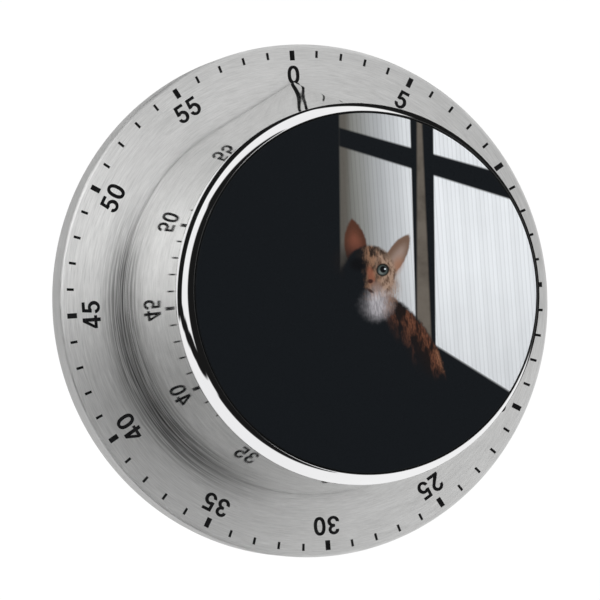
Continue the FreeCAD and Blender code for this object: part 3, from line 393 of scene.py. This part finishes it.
# The ring's side wall: the same steel brushed along the side, made darker than the face as painted shade.
RING_SIDE_SHADED = brushed_steel(
    "ring_side_steel_shaded", (0.62, 0.62, 0.615), 0.5, along=True, anisotropy=0.3, relief=0.003,
)
# Near-black inner lip of the bezel: painted shade where the disc sits down inside the bezel.
SHADE_LIP = plastic("bezel_lip_painted_shade", (0.003, 0.003, 0.003), 0.3, 0.001)
INK = ink("dial_ink")


def finish(piece, slot, material=None):
    piece.data.materials.clear()
    piece.data.materials.append(material or FINISHES[slot])


for part in frame["record"]["subparts"]:
    finish(NODES[part["node"]], part["material_slot"])


# ---------------------------------------------------------------- dial ring and its marks

RING_BREAK, RING_RIM = 0.08 * MM, 2 * MM
SIDE_FACING = 0.2

ring_profile = [
    (RING_RADIUS - RING_BREAK, RING_BACK),
    (RING_RADIUS, RING_BACK + RING_BREAK),
    *arc((RING_RADIUS - RING_EDGE, RING_FACE - RING_EDGE), RING_EDGE, 0, 90, 14),
    (RING_RADIUS - RING_RIM, RING_FACE),
    (RING_HOLE, RING_FACE),
    (RING_HOLE, RING_FACE - RING_WALL),
    (RING_RADIUS - 2 * RING_WALL, RING_FACE - RING_WALL),
    (RING_RADIUS - RING_WALL, RING_FACE - 2 * RING_WALL),
    (RING_RADIUS - RING_WALL, RING_BACK),
]
ring = turned("dial_ring_skin", ring_profile, "case", steps=720)
finish(ring, "brushed_steel_ring")
ring.data.materials.append(RING_SIDE_SHADED)
# Faces round the side take the darker steel, which is painted shade.
for face in ring.data.polygons:
    if abs(face.normal.y) < SIDE_FACING:
        face.material_index = 1
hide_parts("dial_ring")

INK_DEPTH = 0.012 * MM
LABEL_STEP = 5
MARK_OUTER, MINOR_INNER, MAJOR_INNER = 37.05 * MM, 36.0 * MM, 35.6 * MM
MINOR_WIDTH, MAJOR_WIDTH = 0.38 * MM, 0.75 * MM
LABEL_RADIUS, LABEL_HEIGHT = 33.45 * MM, 2.7 * MM
WELD = 0.0001 * MM


def clock_axes(minute):
    """Unit vectors outwards at a minute mark, and clockwise along the dial."""
    turn = minute / MINUTES * math.tau
    return Vector((math.sin(turn), 0, math.cos(turn))), Vector((math.cos(turn), 0, -math.sin(turn)))


def slab(bm, corners, low, high):
    """A thin slab between two depths; corners run round it."""
    under = [bm.verts.new(point(low)) for point in corners]
    over = [bm.verts.new(point(high)) for point in corners]
    bm.faces.new(over)
    bm.faces.new(under[::-1])
    count = len(corners)
    for i in range(count):
        j = (i + 1) % count
        bm.faces.new((under[i], under[j], over[j], over[i]))


def flat_object(name, bm, body, slot, material):
    """A piece of flat print."""
    bmesh.ops.recalc_face_normals(bm, faces=bm.faces)
    mesh = bpy.data.meshes.new(name)
    bm.to_mesh(mesh)
    bm.free()
    piece = new_object(name, mesh, body, sharp=20)
    finish(piece, slot, material)
    return piece


def tick_corner(minute, across, radius):
    """A corner of a minute mark, as a function of depth."""
    outward, side = clock_axes(minute)
    place = outward * radius + side * across
    return lambda depth: place + Vector((0, -depth, 0))


ticks = bmesh.new()
for minute in range(MINUTES):
    major = minute % LABEL_STEP == 0
    inner = MAJOR_INNER if major else MINOR_INNER
    half = (MAJOR_WIDTH if major else MINOR_WIDTH) / 2
    ring_corners = ((-half, inner), (half, inner), (half, MARK_OUTER), (-half, MARK_OUTER))
    slab(ticks, [tick_corner(minute, *c) for c in ring_corners], RING_FACE, RING_FACE + INK_DEPTH)
flat_object("dial_ticks", ticks, "case", "brushed_steel_ring", INK)


def curve_arc(x, y, across, up, start, end, steps=14):
    """Points of an elliptical arc, angles in degrees anticlockwise from +X."""
    points = []
    for i in range(steps + 1):
        at = math.radians(start + (end - start) * i / steps)
        points.append((x + across * math.cos(at), y + up * math.sin(at)))
    return points


def oval(x, y, across, up, power, steps=40):
    """A squared-off oval."""
    points = []
    for i in range(steps):
        at = math.tau * i / steps
        c, s = math.cos(at), math.sin(at)
        points.append((
            x + across * math.copysign(abs(c) ** (2 / power), c),
            y + up * math.copysign(abs(s) ** (2 / power), s),
        ))
    return points


# Condensed bold digits in a box 0.7 wide and 1 high, as outlines and holes.
DIGITS = {
    "0": [oval(0.35, 0.5, 0.34, 0.51, 2.35), oval(0.35, 0.5, 0.145, 0.34, 2.2)],
    "1": [[(0.28, 0), (0.48, 0), (0.48, 1), (0.33, 1), (0.26, 0.87), (0.08, 0.8), (0.08, 0.64), (0.28, 0.7)]],
    "2": [[
        *curve_arc(0.35, 0.71, 0.33, 0.3, 186, -30),
        (0.33, 0.175), (0.685, 0.175), (0.685, 0), (0.01, 0), (0.01, 0.14),
        *curve_arc(0.345, 0.7, 0.14, 0.14, -32, 182),
    ]],
    "3": [[
        *curve_arc(0.335, 0.735, 0.31, 0.275, 184, -54),
        *curve_arc(0.34, 0.29, 0.34, 0.3, 52, -186),
        *curve_arc(0.34, 0.29, 0.14, 0.14, -184, 62),
        (0.25, 0.445), (0.25, 0.59),
        *curve_arc(0.335, 0.73, 0.125, 0.12, -66, 184),
    ]],
    "4": [
        [(0.37, 0), (0.57, 0), (0.57, 0.19), (0.7, 0.19), (0.7, 0.36), (0.57, 0.36),
         (0.57, 1), (0.36, 1), (0, 0.345), (0, 0.19), (0.37, 0.19)],
        [(0.37, 0.36), (0.185, 0.36), (0.37, 0.69)],
    ],
    "5": [[
        (0.105, 1), (0.64, 1), (0.64, 0.83), (0.27, 0.83), (0.25, 0.64),
        *curve_arc(0.345, 0.33, 0.345, 0.34, 104, -172),
        *curve_arc(0.34, 0.325, 0.145, 0.175, -170, 132),
        (0.06, 0.47),
    ]],
}
DIGIT_ADVANCE, DIGIT_WIDTH = 0.79, 0.7


def numeral(minute):
    """Outlines of a label, centred, in units of its height."""
    text = str(minute)
    width = DIGIT_ADVANCE * (len(text) - 1) + DIGIT_WIDTH
    outlines = []
    for place, digit in enumerate(text):
        shift = place * DIGIT_ADVANCE - width / 2
        outlines += [[(x + shift, y - 0.5) for x, y in line] for line in DIGITS[digit]]
    return outlines


def filled(outlines):
    """A flat mesh of outlines with their holes."""
    curve = bpy.data.curves.new("outline", "CURVE")
    curve.dimensions = "2D"
    curve.fill_mode = "BOTH"
    curve.extrude = 0.5
    for line in outlines:
        spline = curve.splines.new("POLY")
        spline.points.add(len(line) - 1)
        for point, (x, y) in zip(spline.points, line):
            point.co = (x, y, 0, 1)
        spline.use_cyclic_u = True
    holder = bpy.data.objects.new("outline", curve)
    mesh = bpy.data.meshes.new_from_object(holder)
    bpy.data.objects.remove(holder)
    bpy.data.curves.remove(curve)
    return mesh


labels = bmesh.new()
for minute in range(0, MINUTES, LABEL_STEP):
    outward, side = clock_axes(minute)
    first = len(labels.verts)
    mesh = filled(numeral(minute))
    labels.from_mesh(mesh)
    labels.verts.ensure_lookup_table()
    for vertex in labels.verts[first:]:
        x, y, z = vertex.co
        depth = RING_FACE + INK_DEPTH * (z + 0.5)
        place = outward * (LABEL_RADIUS + y * LABEL_HEIGHT) + side * x * LABEL_HEIGHT
        vertex.co = place + Vector((0, -depth, 0))
    bpy.data.meshes.remove(mesh)
bmesh.ops.remove_doubles(labels, verts=labels.verts, dist=WELD)
flat_object("dial_numerals", labels, "case", "brushed_steel_ring", INK)


# ---------------------------------------------------------------- knob skin, bezel and picture disc

TIP_HALF = math.acos(KNOB_BASE / POINTER)
TIP_SOFT = 0.02
SKIN_ROWS, ROUND_STEPS, FLANK_STEPS = 10, 340, 50


def skin_angles():
    """Clock angles round the knob, closer together towards the pointer's ridge."""
    side = [TIP_HALF * (i / FLANK_STEPS) ** 2 for i in range(1, FLANK_STEPS)]
    span = math.tau - 2 * TIP_HALF
    rest = [TIP_HALF + span * i / ROUND_STEPS for i in range(ROUND_STEPS + 1)]
    return [0.0, *side, *rest, *(math.tau - turn for turn in reversed(side))]


def skin_point(turn, share, inset, depth):
    """A point of the knob's skin: share runs from the pointed back to the round front."""
    side = min(turn, math.tau - turn)
    outward = Vector((math.sin(turn), math.cos(turn)))
    base = outward * (KNOB_BASE - inset)
    if side < TIP_HALF:
        soft = math.hypot(side / TIP_HALF, TIP_SOFT * math.sqrt(1 - (side / TIP_HALF) ** 2))
        edge = math.copysign(TIP_HALF, math.pi - turn)
        meet = Vector((math.sin(edge), math.cos(edge))) * (KNOB_BASE - inset)
        tip = Vector((0, (KNOB_BASE - inset) / math.cos(TIP_HALF)))
        base = tip.lerp(meet, soft)
    place = base.lerp(outward * (KNOB_TOP - inset), share)
    return Vector((place.x, -depth, place.y))


turns = skin_angles()
skin_height = KNOB_FRONT - KNOB_BACK
EDGE_SOFT = 0.12 * MM
loops = []
for row in range(SKIN_ROWS + 1):
    share = row / SKIN_ROWS
    depth = KNOB_BACK + EDGE_SOFT + (skin_height - EDGE_SOFT) * share
    loops.append([skin_point(turn, share, 0, depth) for turn in turns])
loops.append([skin_point(turn, 1, KNOB_WALL, KNOB_FRONT) for turn in turns])
loops.append([skin_point(turn, 0, KNOB_WALL, KNOB_BACK) for turn in turns])
loops.append([skin_point(turn, 0, EDGE_SOFT, KNOB_BACK) for turn in turns])
skin = loft("knob_skin", loops, True, "knob", sharp=40)
finish(skin, "brushed_steel_knob")
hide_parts("knob_shell")

BEZEL_BACK = KNOB_FRONT
BEZEL_LIP = DISC_RADIUS + 0.05 * MM
BEZEL_SEAT = KNOB_TOP - 1.5 * MM
LAND_WIDTH, LAND_BOW, SIDE_HEIGHT = 0.15 * MM, 0.02 * MM, 0.5 * MM
SLOPE_BOW, EDGE_ROUND = 0.18 * MM, 0.06 * MM


def bowed(start, end, bow, steps):
    """A profile run from start to end, bowed outwards by up to bow."""
    (r0, d0), (r1, d1) = start, end
    length = math.hypot(r1 - r0, d1 - d0)
    out = ((d1 - d0) / length, (r0 - r1) / length)
    points = []
    for i in range(steps + 1):
        t = i / steps
        lift = bow * 4 * t * (1 - t)
        points.append((r0 + (r1 - r0) * t + out[0] * lift, d0 + (d1 - d0) * t + out[1] * lift))
    return points


slope_foot = (KNOB_TOP, BEZEL_BACK + SIDE_HEIGHT)
slope_top = (BEZEL_LIP + LAND_WIDTH, BEZEL_FRONT - EDGE_ROUND)
bezel_profile = [
    (KNOB_TOP - EDGE_ROUND, BEZEL_BACK),
    (KNOB_TOP, BEZEL_BACK + EDGE_ROUND),
    *bowed(slope_foot, slope_top, SLOPE_BOW, 24),
    *bowed(slope_top, (BEZEL_LIP + EDGE_ROUND, BEZEL_FRONT), LAND_BOW, 8)[1:],
    (BEZEL_LIP, BEZEL_FRONT - EDGE_ROUND),
    (BEZEL_LIP, DISC_BACK),
    (BEZEL_SEAT, BEZEL_BACK),
]
bezel = turned("bezel_ring_skin", bezel_profile, "knob", steps=720, sharp=25)
finish(bezel, "bright_chrome")
bezel.data.materials.append(SHADE_LIP)
# Faces inside the bezel's land take the painted shade.
for face in bezel.data.polygons:
    if math.hypot(face.center.x, face.center.z) < slope_top[0]:
        face.material_index = 1
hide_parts("bezel_ring")


# ---------------------------------------------------------------- the print: a cat by a ribbed window


NIGHT = (0.0062, 0.0080, 0.0102)


class Print(Paint):
    """Shapes in millimetres across and up from the disc's centre, as soft masks."""

    def __init__(self, name):
        super().__init__(name, NIGHT, 0.3, 0.0, Specular_IOR_Level=0.05)
        x, y, z = self.split()
        self.u = self.maths("DIVIDE", x, MM)
        self.v = self.maths("DIVIDE", z, MM)
        self.tone = NIGHT

    def both(self, *masks):
        made = masks[0]
        for mask in masks[1:]:
            made = self.times(made, mask)
        return made

    def slant(self, start, slope):
        """The height of a sloping line under each point."""
        return self.maths("MULTIPLY_ADD", self.u, slope, start)

    def past(self, start, lean, soft=0.12):
        """1 to the right of a nearly upright line."""
        return self.over(self.maths("MULTIPLY_ADD", self.v, -lean, self.u), start, soft)

    def outside(self, mask):
        return self.maths("SUBTRACT", 1.0, mask)

    def over(self, value, limit, soft=0.12):
        """1 where value is above limit."""
        return self.ramp(self.maths("SUBTRACT", value, limit), -soft, soft)

    def under(self, value, limit, soft=0.12):
        return self.ramp(self.maths("SUBTRACT", value, limit), -soft, soft, 1.0, 0.0)

    def strip(self, value, low, high, soft=0.12):
        return self.both(self.over(value, low, soft), self.under(value, high, soft))

    def blob(self, across, up, wide, high, turn=0.0, soft=0.12, ragged=None, amount=0.0):
        """A soft-edged oval, 1 inside, its edge made ragged by a noise."""
        c, s = math.cos(math.radians(turn)), math.sin(math.radians(turn))
        du = self.maths("SUBTRACT", self.u, across)
        dv = self.maths("SUBTRACT", self.v, up)
        a = self.add(self.times(du, c / wide), self.times(dv, s / wide))
        b = self.maths("SUBTRACT", self.times(dv, c / high), self.times(du, s / high))
        distance = self.length(a, b)
        if ragged is not None:
            shift = self.times(self.maths("SUBTRACT", ragged, 0.5), amount)
            distance = self.add(distance, shift)
        return self.ramp(distance, 1 - soft, 1 + soft, 1.0, 0.0)

    def lay(self, mask, tone, strength=1.0):
        """Prints a colour over what is there."""
        amount = self.times(mask, strength) if strength != 1.0 else mask
        self.tone = self.mix(amount, self.tone, tone)

    def fur(self, scale, turn, stretch=5.0, raw=False):
        """Noise drawn out into hairs, or only its coordinates."""
        made = self.node("ShaderNodeMapping")
        self.link(self.coordinates, made.inputs["Vector"])
        made.inputs["Rotation"].default_value = (0, math.radians(turn), 0)
        made.inputs["Scale"].default_value = (scale * stretch, scale, scale)
        return made.outputs[0] if raw else self.noise(1.0, 4.0, made.outputs[0])


def window(art):
    """Two panes of ribbed glass in a dark frame, above a sloping sill."""
    rib = art.maths("FRACT", art.maths("DIVIDE", art.u, 0.61))
    crest = art.both(art.ramp(rib, 0.0, 0.22, 0.80, 1.0), art.ramp(rib, 0.75, 1.0, 1.0, 0.9))
    wide = art.maths("FRACT", art.maths("DIVIDE", art.u, 2.44))
    crest = art.both(crest, art.ramp(wide, 0.2, 0.8, 0.95, 1.0))
    light = art.maths("POWER", art.ramp(art.u, -4.2, 9.0, 0.20, 0.96, False), 1.5)
    haze = art.ramp(art.v, -14, 4, 0.84, 1.0)
    cloud = art.ramp(art.noise(70, 3.0), 0.35, 0.65, 0.94, 1.0)
    glass = art.both(light, haze, cloud, crest)
    tint = art.mix(art.ramp(art.u, -2.5, 3.5), (0.92, 0.93, 0.86), (0.93, 0.965, 1.0))
    pane = art.mix(1.0, tint, art.join(glass, glass, glass), "MULTIPLY")
    sill = art.slant(-1.7, -0.686)
    room = art.past(-4.14, 0.068, 0.25)
    over_sill = art.over(art.v, sill, 0.25)
    art.lay(art.both(room, over_sill), pane)
    curtain = art.both(room, over_sill, art.outside(art.past(-2.9, 0.068, 0.6)))
    art.lay(curtain, (0.105, 0.095, 0.082), 0.8)
    ledge = art.strip(art.maths("SUBTRACT", art.v, sill), -0.3, 0.12, 0.16)
    art.lay(art.both(ledge, art.past(9.9, 0.066)), (0.40, 0.41, 0.42), 0.75)
    bar_top, bar_foot = art.slant(22.55, -0.32), art.slant(19.78, -0.352)
    bar = art.both(art.under(art.v, bar_top, 0.2), art.over(art.v, bar_foot, 0.2))
    art.lay(art.both(bar, art.past(-4.4, 0.068, 0.4)), NIGHT)
    post = art.both(art.past(6.87, 0.049), art.outside(art.past(9.94, 0.066)))
    art.lay(post, NIGHT)
    wood = art.mix(art.ramp(art.noise(260, 3.0), 0.3, 0.7), (0.085, 0.073, 0.06), (0.145, 0.127, 0.107))
    lit_side = art.both(art.past(7.22, 0.077, 0.2), art.outside(art.past(9.03, 0.032, 0.2)))
    art.lay(art.both(lit_side, art.over(art.v, -15)), wood)
    art.lay(art.both(art.under(art.v, sill, 0.25), art.past(-6, 0)), NIGHT)


def ear(art, ragged, across, up, lean, wide, high, outer, inner):
    """The overlap of two leaning ovals, with a paler inside."""
    c, s = math.cos(math.radians(lean)), math.sin(math.radians(lean))
    shift = wide * 0.55
    layers = ((1.0, 0.0, outer, 1.0, 0.05), (0.8, 0.45, inner, 0.75, 0.25))
    for share, drop, tone, strength, soft in layers:
        sides = []
        for sign in (-1, 1):
            place = (across + sign * shift * c, up - drop + sign * shift * s)
            sides.append(art.blob(*place, wide * share, high * share, lean, soft, ragged, 0.08))
        art.lay(art.both(*sides), tone, strength)


def cat(art):
    """A tortoiseshell cat in the shade, lit from the window."""
    ragged = art.noise(1500, 3.0)
    body = art.blob(3.0, -9.2, 6.1, 10.5, 30, 0.05, ragged, 0.1)
    art.lay(body, NIGHT)
    art.lay(art.blob(0.6, -8.0, 5.2, 8.0, 0, 0.08, ragged, 0.1), NIGHT)
    art.lay(art.blob(-3.0, 0.6, 2.0, 3.6, 0, 0.2, ragged, 0.2), NIGHT)
    patches = art.ramp(art.noise(330, 2.0, art.fur(1.0, -30, 2.2, True)), 0.44, 0.6)
    fur = art.ramp(art.fur(1700, -32, 4.0), 0.35, 0.65, 0.25, 1.0)
    rust = art.mix(art.both(patches, fur), (0.013, 0.008, 0.007), (0.155, 0.060, 0.034))
    rim = art.blob(5.0, -7.4, 3.5, 9.0, 33, 0.25, ragged, 0.3)
    lean = art.maths("MULTIPLY_ADD", art.u, 0.84, art.times(art.v, 0.54))
    art.lay(art.both(rim, body, art.ramp(lean, -1.2, 2.8), art.ramp(art.v, -13.6, -11.2)), rust)
    haunch = art.blob(10.3, -9.9, 0.85, 2.1, 14, 0.5, ragged, 0.5)
    art.lay(art.both(haunch, body, fur), (0.30, 0.135, 0.075), 0.85)
    ear(art, ragged, -1.45, 6.5, 4, 3.7, 4.8, (0.085, 0.034, 0.021), (0.22, 0.075, 0.048))
    art.lay(art.blob(-1.9, 4.6, 2.2, 1.7, 0, 0.9), (0.012, 0.010, 0.010), 0.85)
    ear(art, ragged, 4.35, 4.7, -36, 3.0, 4.7, (0.17, 0.105, 0.075), (0.36, 0.275, 0.235))
    art.lay(art.blob(4.5, 3.5, 0.7, 1.2, -30, 0.8), (0.34, 0.15, 0.08), 0.6)
    stripes = art.ramp(art.fur(620, 12, 3.0), 0.4, 0.62)
    mottle = art.ramp(art.fur(1100, -20, 2.0), 0.34, 0.6)
    tabby = art.mix(stripes, (0.030, 0.020, 0.015), (0.26, 0.145, 0.09))
    warm = art.mix(mottle, (0.12, 0.070, 0.048), (0.36, 0.245, 0.18))
    lit = art.mix(art.ramp(art.u, 0.6, 2.6), tabby, warm)
    shade = art.maths("MULTIPLY_ADD", art.maths("SUBTRACT", ragged, 0.5), 1.6, art.u)
    half = art.mix(art.ramp(shade, -0.9, 0.6), NIGHT, lit)
    head = art.blob(0.3, 2.7, 3.85, 3.85, -6, 0.07, ragged, 0.12)
    art.lay(head, half)
    crown = art.both(art.ramp(art.v, 3.8, 5.6), art.ramp(art.u, -2.5, 0.5), art.outside(stripes))
    art.lay(art.both(crown, head), (0.02, 0.014, 0.011), 0.8)
    art.lay(art.blob(3.2, 1.0, 1.0, 1.9, -25, 0.6, ragged, 0.5), warm, 0.7)
    art.lay(art.blob(0.5, 2.3, 0.5, 1.3, 8, 0.5, ragged, 0.4), (0.27, 0.10, 0.06), 0.8)
    art.lay(art.blob(1.2, 0.8, 0.85, 0.65, -6, 0.5, ragged, 0.4), (0.24, 0.16, 0.13), 0.8)
    bib = art.blob(1.0, -1.75, 1.95, 1.75, 12, 0.7, ragged, 0.6)
    lit_bib = art.both(bib, art.ramp(art.u, -1.0, 1.0, 0.35, 1.0))
    tufts = art.ramp(art.fur(1200, 8, 4.0), 0.3, 0.65, 0.55, 1.0)
    art.lay(art.both(lit_bib, tufts), (0.50, 0.48, 0.51), 0.95)
    scruff = art.blob(3.4, -0.9, 0.8, 1.9, -28, 0.8, ragged, 0.6)
    art.lay(art.both(scruff, fur), (0.27, 0.155, 0.10), 0.75)
    art.lay(art.blob(0.33, 1.55, 0.40, 0.30, 0, 0.4), (0.045, 0.018, 0.014))
    art.lay(art.blob(0.25, 0.20, 0.50, 0.20, -35, 0.5), (0.030, 0.015, 0.013), 0.9)
    art.lay(art.blob(-1.4, 4.0, 1.1, 0.85, -10, 0.5), (0.003, 0.003, 0.004), 0.8)
    art.lay(art.blob(2.30, 3.03, 0.98, 0.90, 15, 0.14), (0.010, 0.009, 0.008))
    art.lay(art.blob(2.28, 3.00, 0.70, 0.68, 0, 0.2), (0.066, 0.083, 0.078))
    art.lay(art.blob(2.10, 2.78, 0.40, 0.32, 0, 0.5), (0.20, 0.225, 0.215), 0.7)
    art.lay(art.blob(2.36, 3.10, 0.46, 0.48, 0, 0.2), (0.004, 0.004, 0.005))
    art.lay(art.blob(2.66, 3.14, 0.15, 0.13, 0, 0.3), (0.58, 0.62, 0.66))


def window_cat(name):
    """A generic picture for the disc."""
    art = Print(name)
    window(art)
    cat(art)
    art.colour(art.tone)
    film = art.noise(1200, 2.0)
    art.rough(art.ramp(film, 0.3, 0.7, 0.26, 0.34))
    art.bump(film, 0.002 * MM, 0.3)
    return art.material


DISC_SOFT, CORE = 0.25 * MM, 0.4 * MM
CORE_REACH = 1.001 * CORE
FRONT_FACING = -0.9

disc_profile = [
    (DISC_RADIUS - DISC_SOFT, DISC_BACK),
    (DISC_RADIUS, DISC_BACK + DISC_SOFT),
    *arc((DISC_RADIUS - DISC_SOFT, DISC_FRONT - DISC_SOFT), DISC_SOFT, 0, 90, 8),
    (CORE, DISC_FRONT),
    (CORE, DISC_BACK),
]
disc = turned("picture_disc_skin", disc_profile, "knob", steps=360)
bm = bmesh.new()
bm.from_mesh(disc.data)
middles = ((face, face.calc_center_median()) for face in bm.faces)
core = [face for face, middle in middles if math.hypot(middle.x, middle.z) < CORE_REACH]
bmesh.ops.delete(bm, geom=core, context="FACES_ONLY")
bmesh.ops.holes_fill(bm, edges=[edge for edge in bm.edges if edge.is_boundary], sides=0)
bm.to_mesh(disc.data)
bm.free()
finish(disc, "printed_disc", window_cat("window_cat_print"))
disc.data.materials.append(FINISHES["printed_disc"])
for face in disc.data.polygons:
    face.material_index = 0 if face.normal.y < FRONT_FACING else 1
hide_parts("picture_disc")


# ---------------------------------------------------------------- camera

AZIMUTH, ELEVATION, ROLL = map(math.radians, (-18.12, -1.07, 4.18))
DISTANCE, SIDESTEP, LENS = 0.5109, -1.48 * MM, 207.19

away = Vector((
    math.sin(AZIMUTH) * math.cos(ELEVATION),
    -math.cos(AZIMUTH) * math.cos(ELEVATION),
    math.sin(ELEVATION),
))
level = Vector((0, 0, 1)).cross(away).normalized()
upright = away.cross(level)
right = level * math.cos(ROLL) - upright * math.sin(ROLL)
up = upright * math.cos(ROLL) + level * math.sin(ROLL)
camera = bpy.data.objects.new("camera", bpy.data.cameras.new("camera"))
SCENE.collection.objects.link(camera)
camera.data.lens = LENS
camera.data.clip_start = 0.01
spot = Vector((0, -RING_FACE, 0)) + away * DISTANCE + right * SIDESTEP
camera.matrix_world = Matrix((right, up, away)).transposed().to_4x4()
camera.location = spot
SCENE.camera = camera


# ---------------------------------------------------------------- floor, backdrop and light

SCENE.view_settings.view_transform = "Standard"
SCENE.view_settings.look = "None"

FLOOR_DROP, FLOOR_REACH, BACKDROP_REACH = 0.5, 1.2, 6.0


def stage_material(name, colour, glow):
    """Matt paint with a white glow of its own."""
    paint = Paint(name, colour, 0.8)
    paint.shader.inputs["Emission Color"].default_value = (1, 1, 1, 1)
    paint.shader.inputs["Emission Strength"].default_value = glow
    return paint.material


def stage_object(name, bm, material):
    mesh = bpy.data.meshes.new(name)
    bm.to_mesh(mesh)
    bm.free()
    piece = bpy.data.objects.new(name, mesh)
    SCENE.collection.objects.link(piece)
    mesh.materials.append(material)
    return piece


bm = bmesh.new()
bmesh.ops.create_circle(bm, cap_ends=True, segments=96, radius=FLOOR_REACH)
floor = stage_object("floor", bm, stage_material("floor_paint", (0.85, 0.85, 0.85), 0.35))
floor.location = (0, 0, -FLOOR_DROP)
floor.visible_glossy = False

bm = bmesh.new()
bmesh.ops.create_icosphere(bm, subdivisions=4, radius=BACKDROP_REACH)
backdrop = stage_object("backdrop", bm, stage_material("backdrop_white", (0, 0, 0), 1.0))
backdrop.visible_diffuse = False
backdrop.visible_glossy = False
backdrop.visible_transmission = False
backdrop.visible_shadow = False

# Each patch of the studio, later ones over earlier ones: direction as right, up and front, half-angles of its
# core and edge in degrees, brightness, and ramps from start to end along a world axis that keep it in bounds.
FLAG = 0.01
STUDIO = (
    ((-0.72, 0.35, 0.60), 12, 27, 2.2, ()),
    ((0.50, 0.20, -0.84), 28, 31, FLAG, (("Z", -0.16, -0.11),)),
    ((-0.26, 0.14, -0.955), 39.5, 41, FLAG, (("Z", -0.08, -0.03),)),
    ((-0.79, -0.05, -0.61), 4, 6, FLAG, ()),
    ((-0.83, -0.15, -0.54), 4, 7, FLAG, ()),
    ((-0.85, -0.25, -0.46), 5, 7, FLAG, ()),
    ((-0.84, -0.36, -0.40), 5, 8, FLAG, ()),
    ((-0.26, 0.14, -0.955), 27, 28, 0.85, ()),
    ((-0.98, 0.0, -0.10), 50, 54, FLAG, (("Y", 0.36, 0.325), ("Y", -0.35, -0.25))),
    ((-0.42, 0.86, -0.10), 24, 27, FLAG, (("Y", 0.40, 0.365), ("Y", -0.35, -0.25))),
    ((-0.38, -0.88, -0.10), 30, 33, FLAG, (("Y", 0.40, 0.365), ("Y", -0.35, -0.25))),
    ((-0.33, -0.27, 0.905), 8, 19, 0.0, ()),
    ((-0.05, -0.42, 0.907), 10, 24, 0.06, ()),
    ((0.20, -0.36, 0.91), 8, 18, 0.4, ()),
    ((-0.12, 0.0, 0.99), 5, 12, 0.2, ()),
)
STUDIO_BASE = 0.92

world = bpy.data.worlds.new("studio")
SCENE.world = world
world.use_nodes = True
tree = world.node_tree


def world_node(kind, **settings):
    made = tree.nodes.new(kind)
    for key, value in settings.items():
        setattr(made, key, value)
    return made


def step_up(source, start, end):
    """0 at start and 1 at end, with a smooth step between them."""
    made = world_node("ShaderNodeMapRange", interpolation_type="SMOOTHSTEP")
    tree.links.new(source, made.inputs["Value"])
    made.inputs["From Min"].default_value = start
    made.inputs["From Max"].default_value = end
    return made.outputs[0]


def product(first, second):
    made = world_node("ShaderNodeMath", operation="MULTIPLY")
    tree.links.new(first, made.inputs[0])
    tree.links.new(second, made.inputs[1])
    return made.outputs[0]


def laid_over(below, amount, brightness):
    """A brightness over what is there, as far as amount says; below is a number or an output."""
    made = world_node("ShaderNodeMix")
    tree.links.new(amount, made.inputs[0])
    if hasattr(below, "links"):
        tree.links.new(below, made.inputs[2])
    else:
        made.inputs[2].default_value = below
    made.inputs[3].default_value = brightness
    return made.outputs[0]


direction = world_node("ShaderNodeTexCoord").outputs["Generated"]
axes = world_node("ShaderNodeSeparateXYZ")
tree.links.new(direction, axes.inputs[0])

glow = STUDIO_BASE
for (across, rise, ahead), core, edge, brightness, limits in STUDIO:
    dot = world_node("ShaderNodeVectorMath", operation="DOT_PRODUCT")
    tree.links.new(direction, dot.inputs[0])
    dot.inputs[1].default_value = Vector((across, -ahead, rise)).normalized()
    patch = step_up(dot.outputs["Value"], math.cos(math.radians(edge)), math.cos(math.radians(core)))
    for axis, start, end in limits:
        patch = product(patch, step_up(axes.outputs[axis], start, end))
    glow = laid_over(glow, patch, brightness)
glow = laid_over(glow, world_node("ShaderNodeLightPath").outputs["Is Camera Ray"], STUDIO_BASE)
tree.links.new(glow, tree.nodes["Background"].inputs["Strength"])
tree.nodes["Background"].inputs["Color"].default_value = (1, 1, 1, 1)

SOFTBOX_SIDE, SOFTBOX_POWER, SOFTBOX_PLACE = 0.8, 1.2, Vector((-0.9, -0.5, 0.8))

lamp = bpy.data.lights.new("softbox", "AREA")
lamp.shape = "RECTANGLE"
lamp.size = lamp.size_y = SOFTBOX_SIDE
lamp.energy = SOFTBOX_POWER
softbox = bpy.data.objects.new("softbox", lamp)
SCENE.collection.objects.link(softbox)
softbox.location = SOFTBOX_PLACE
softbox.rotation_euler = (-SOFTBOX_PLACE).to_track_quat("-Z", "Y").to_euler()
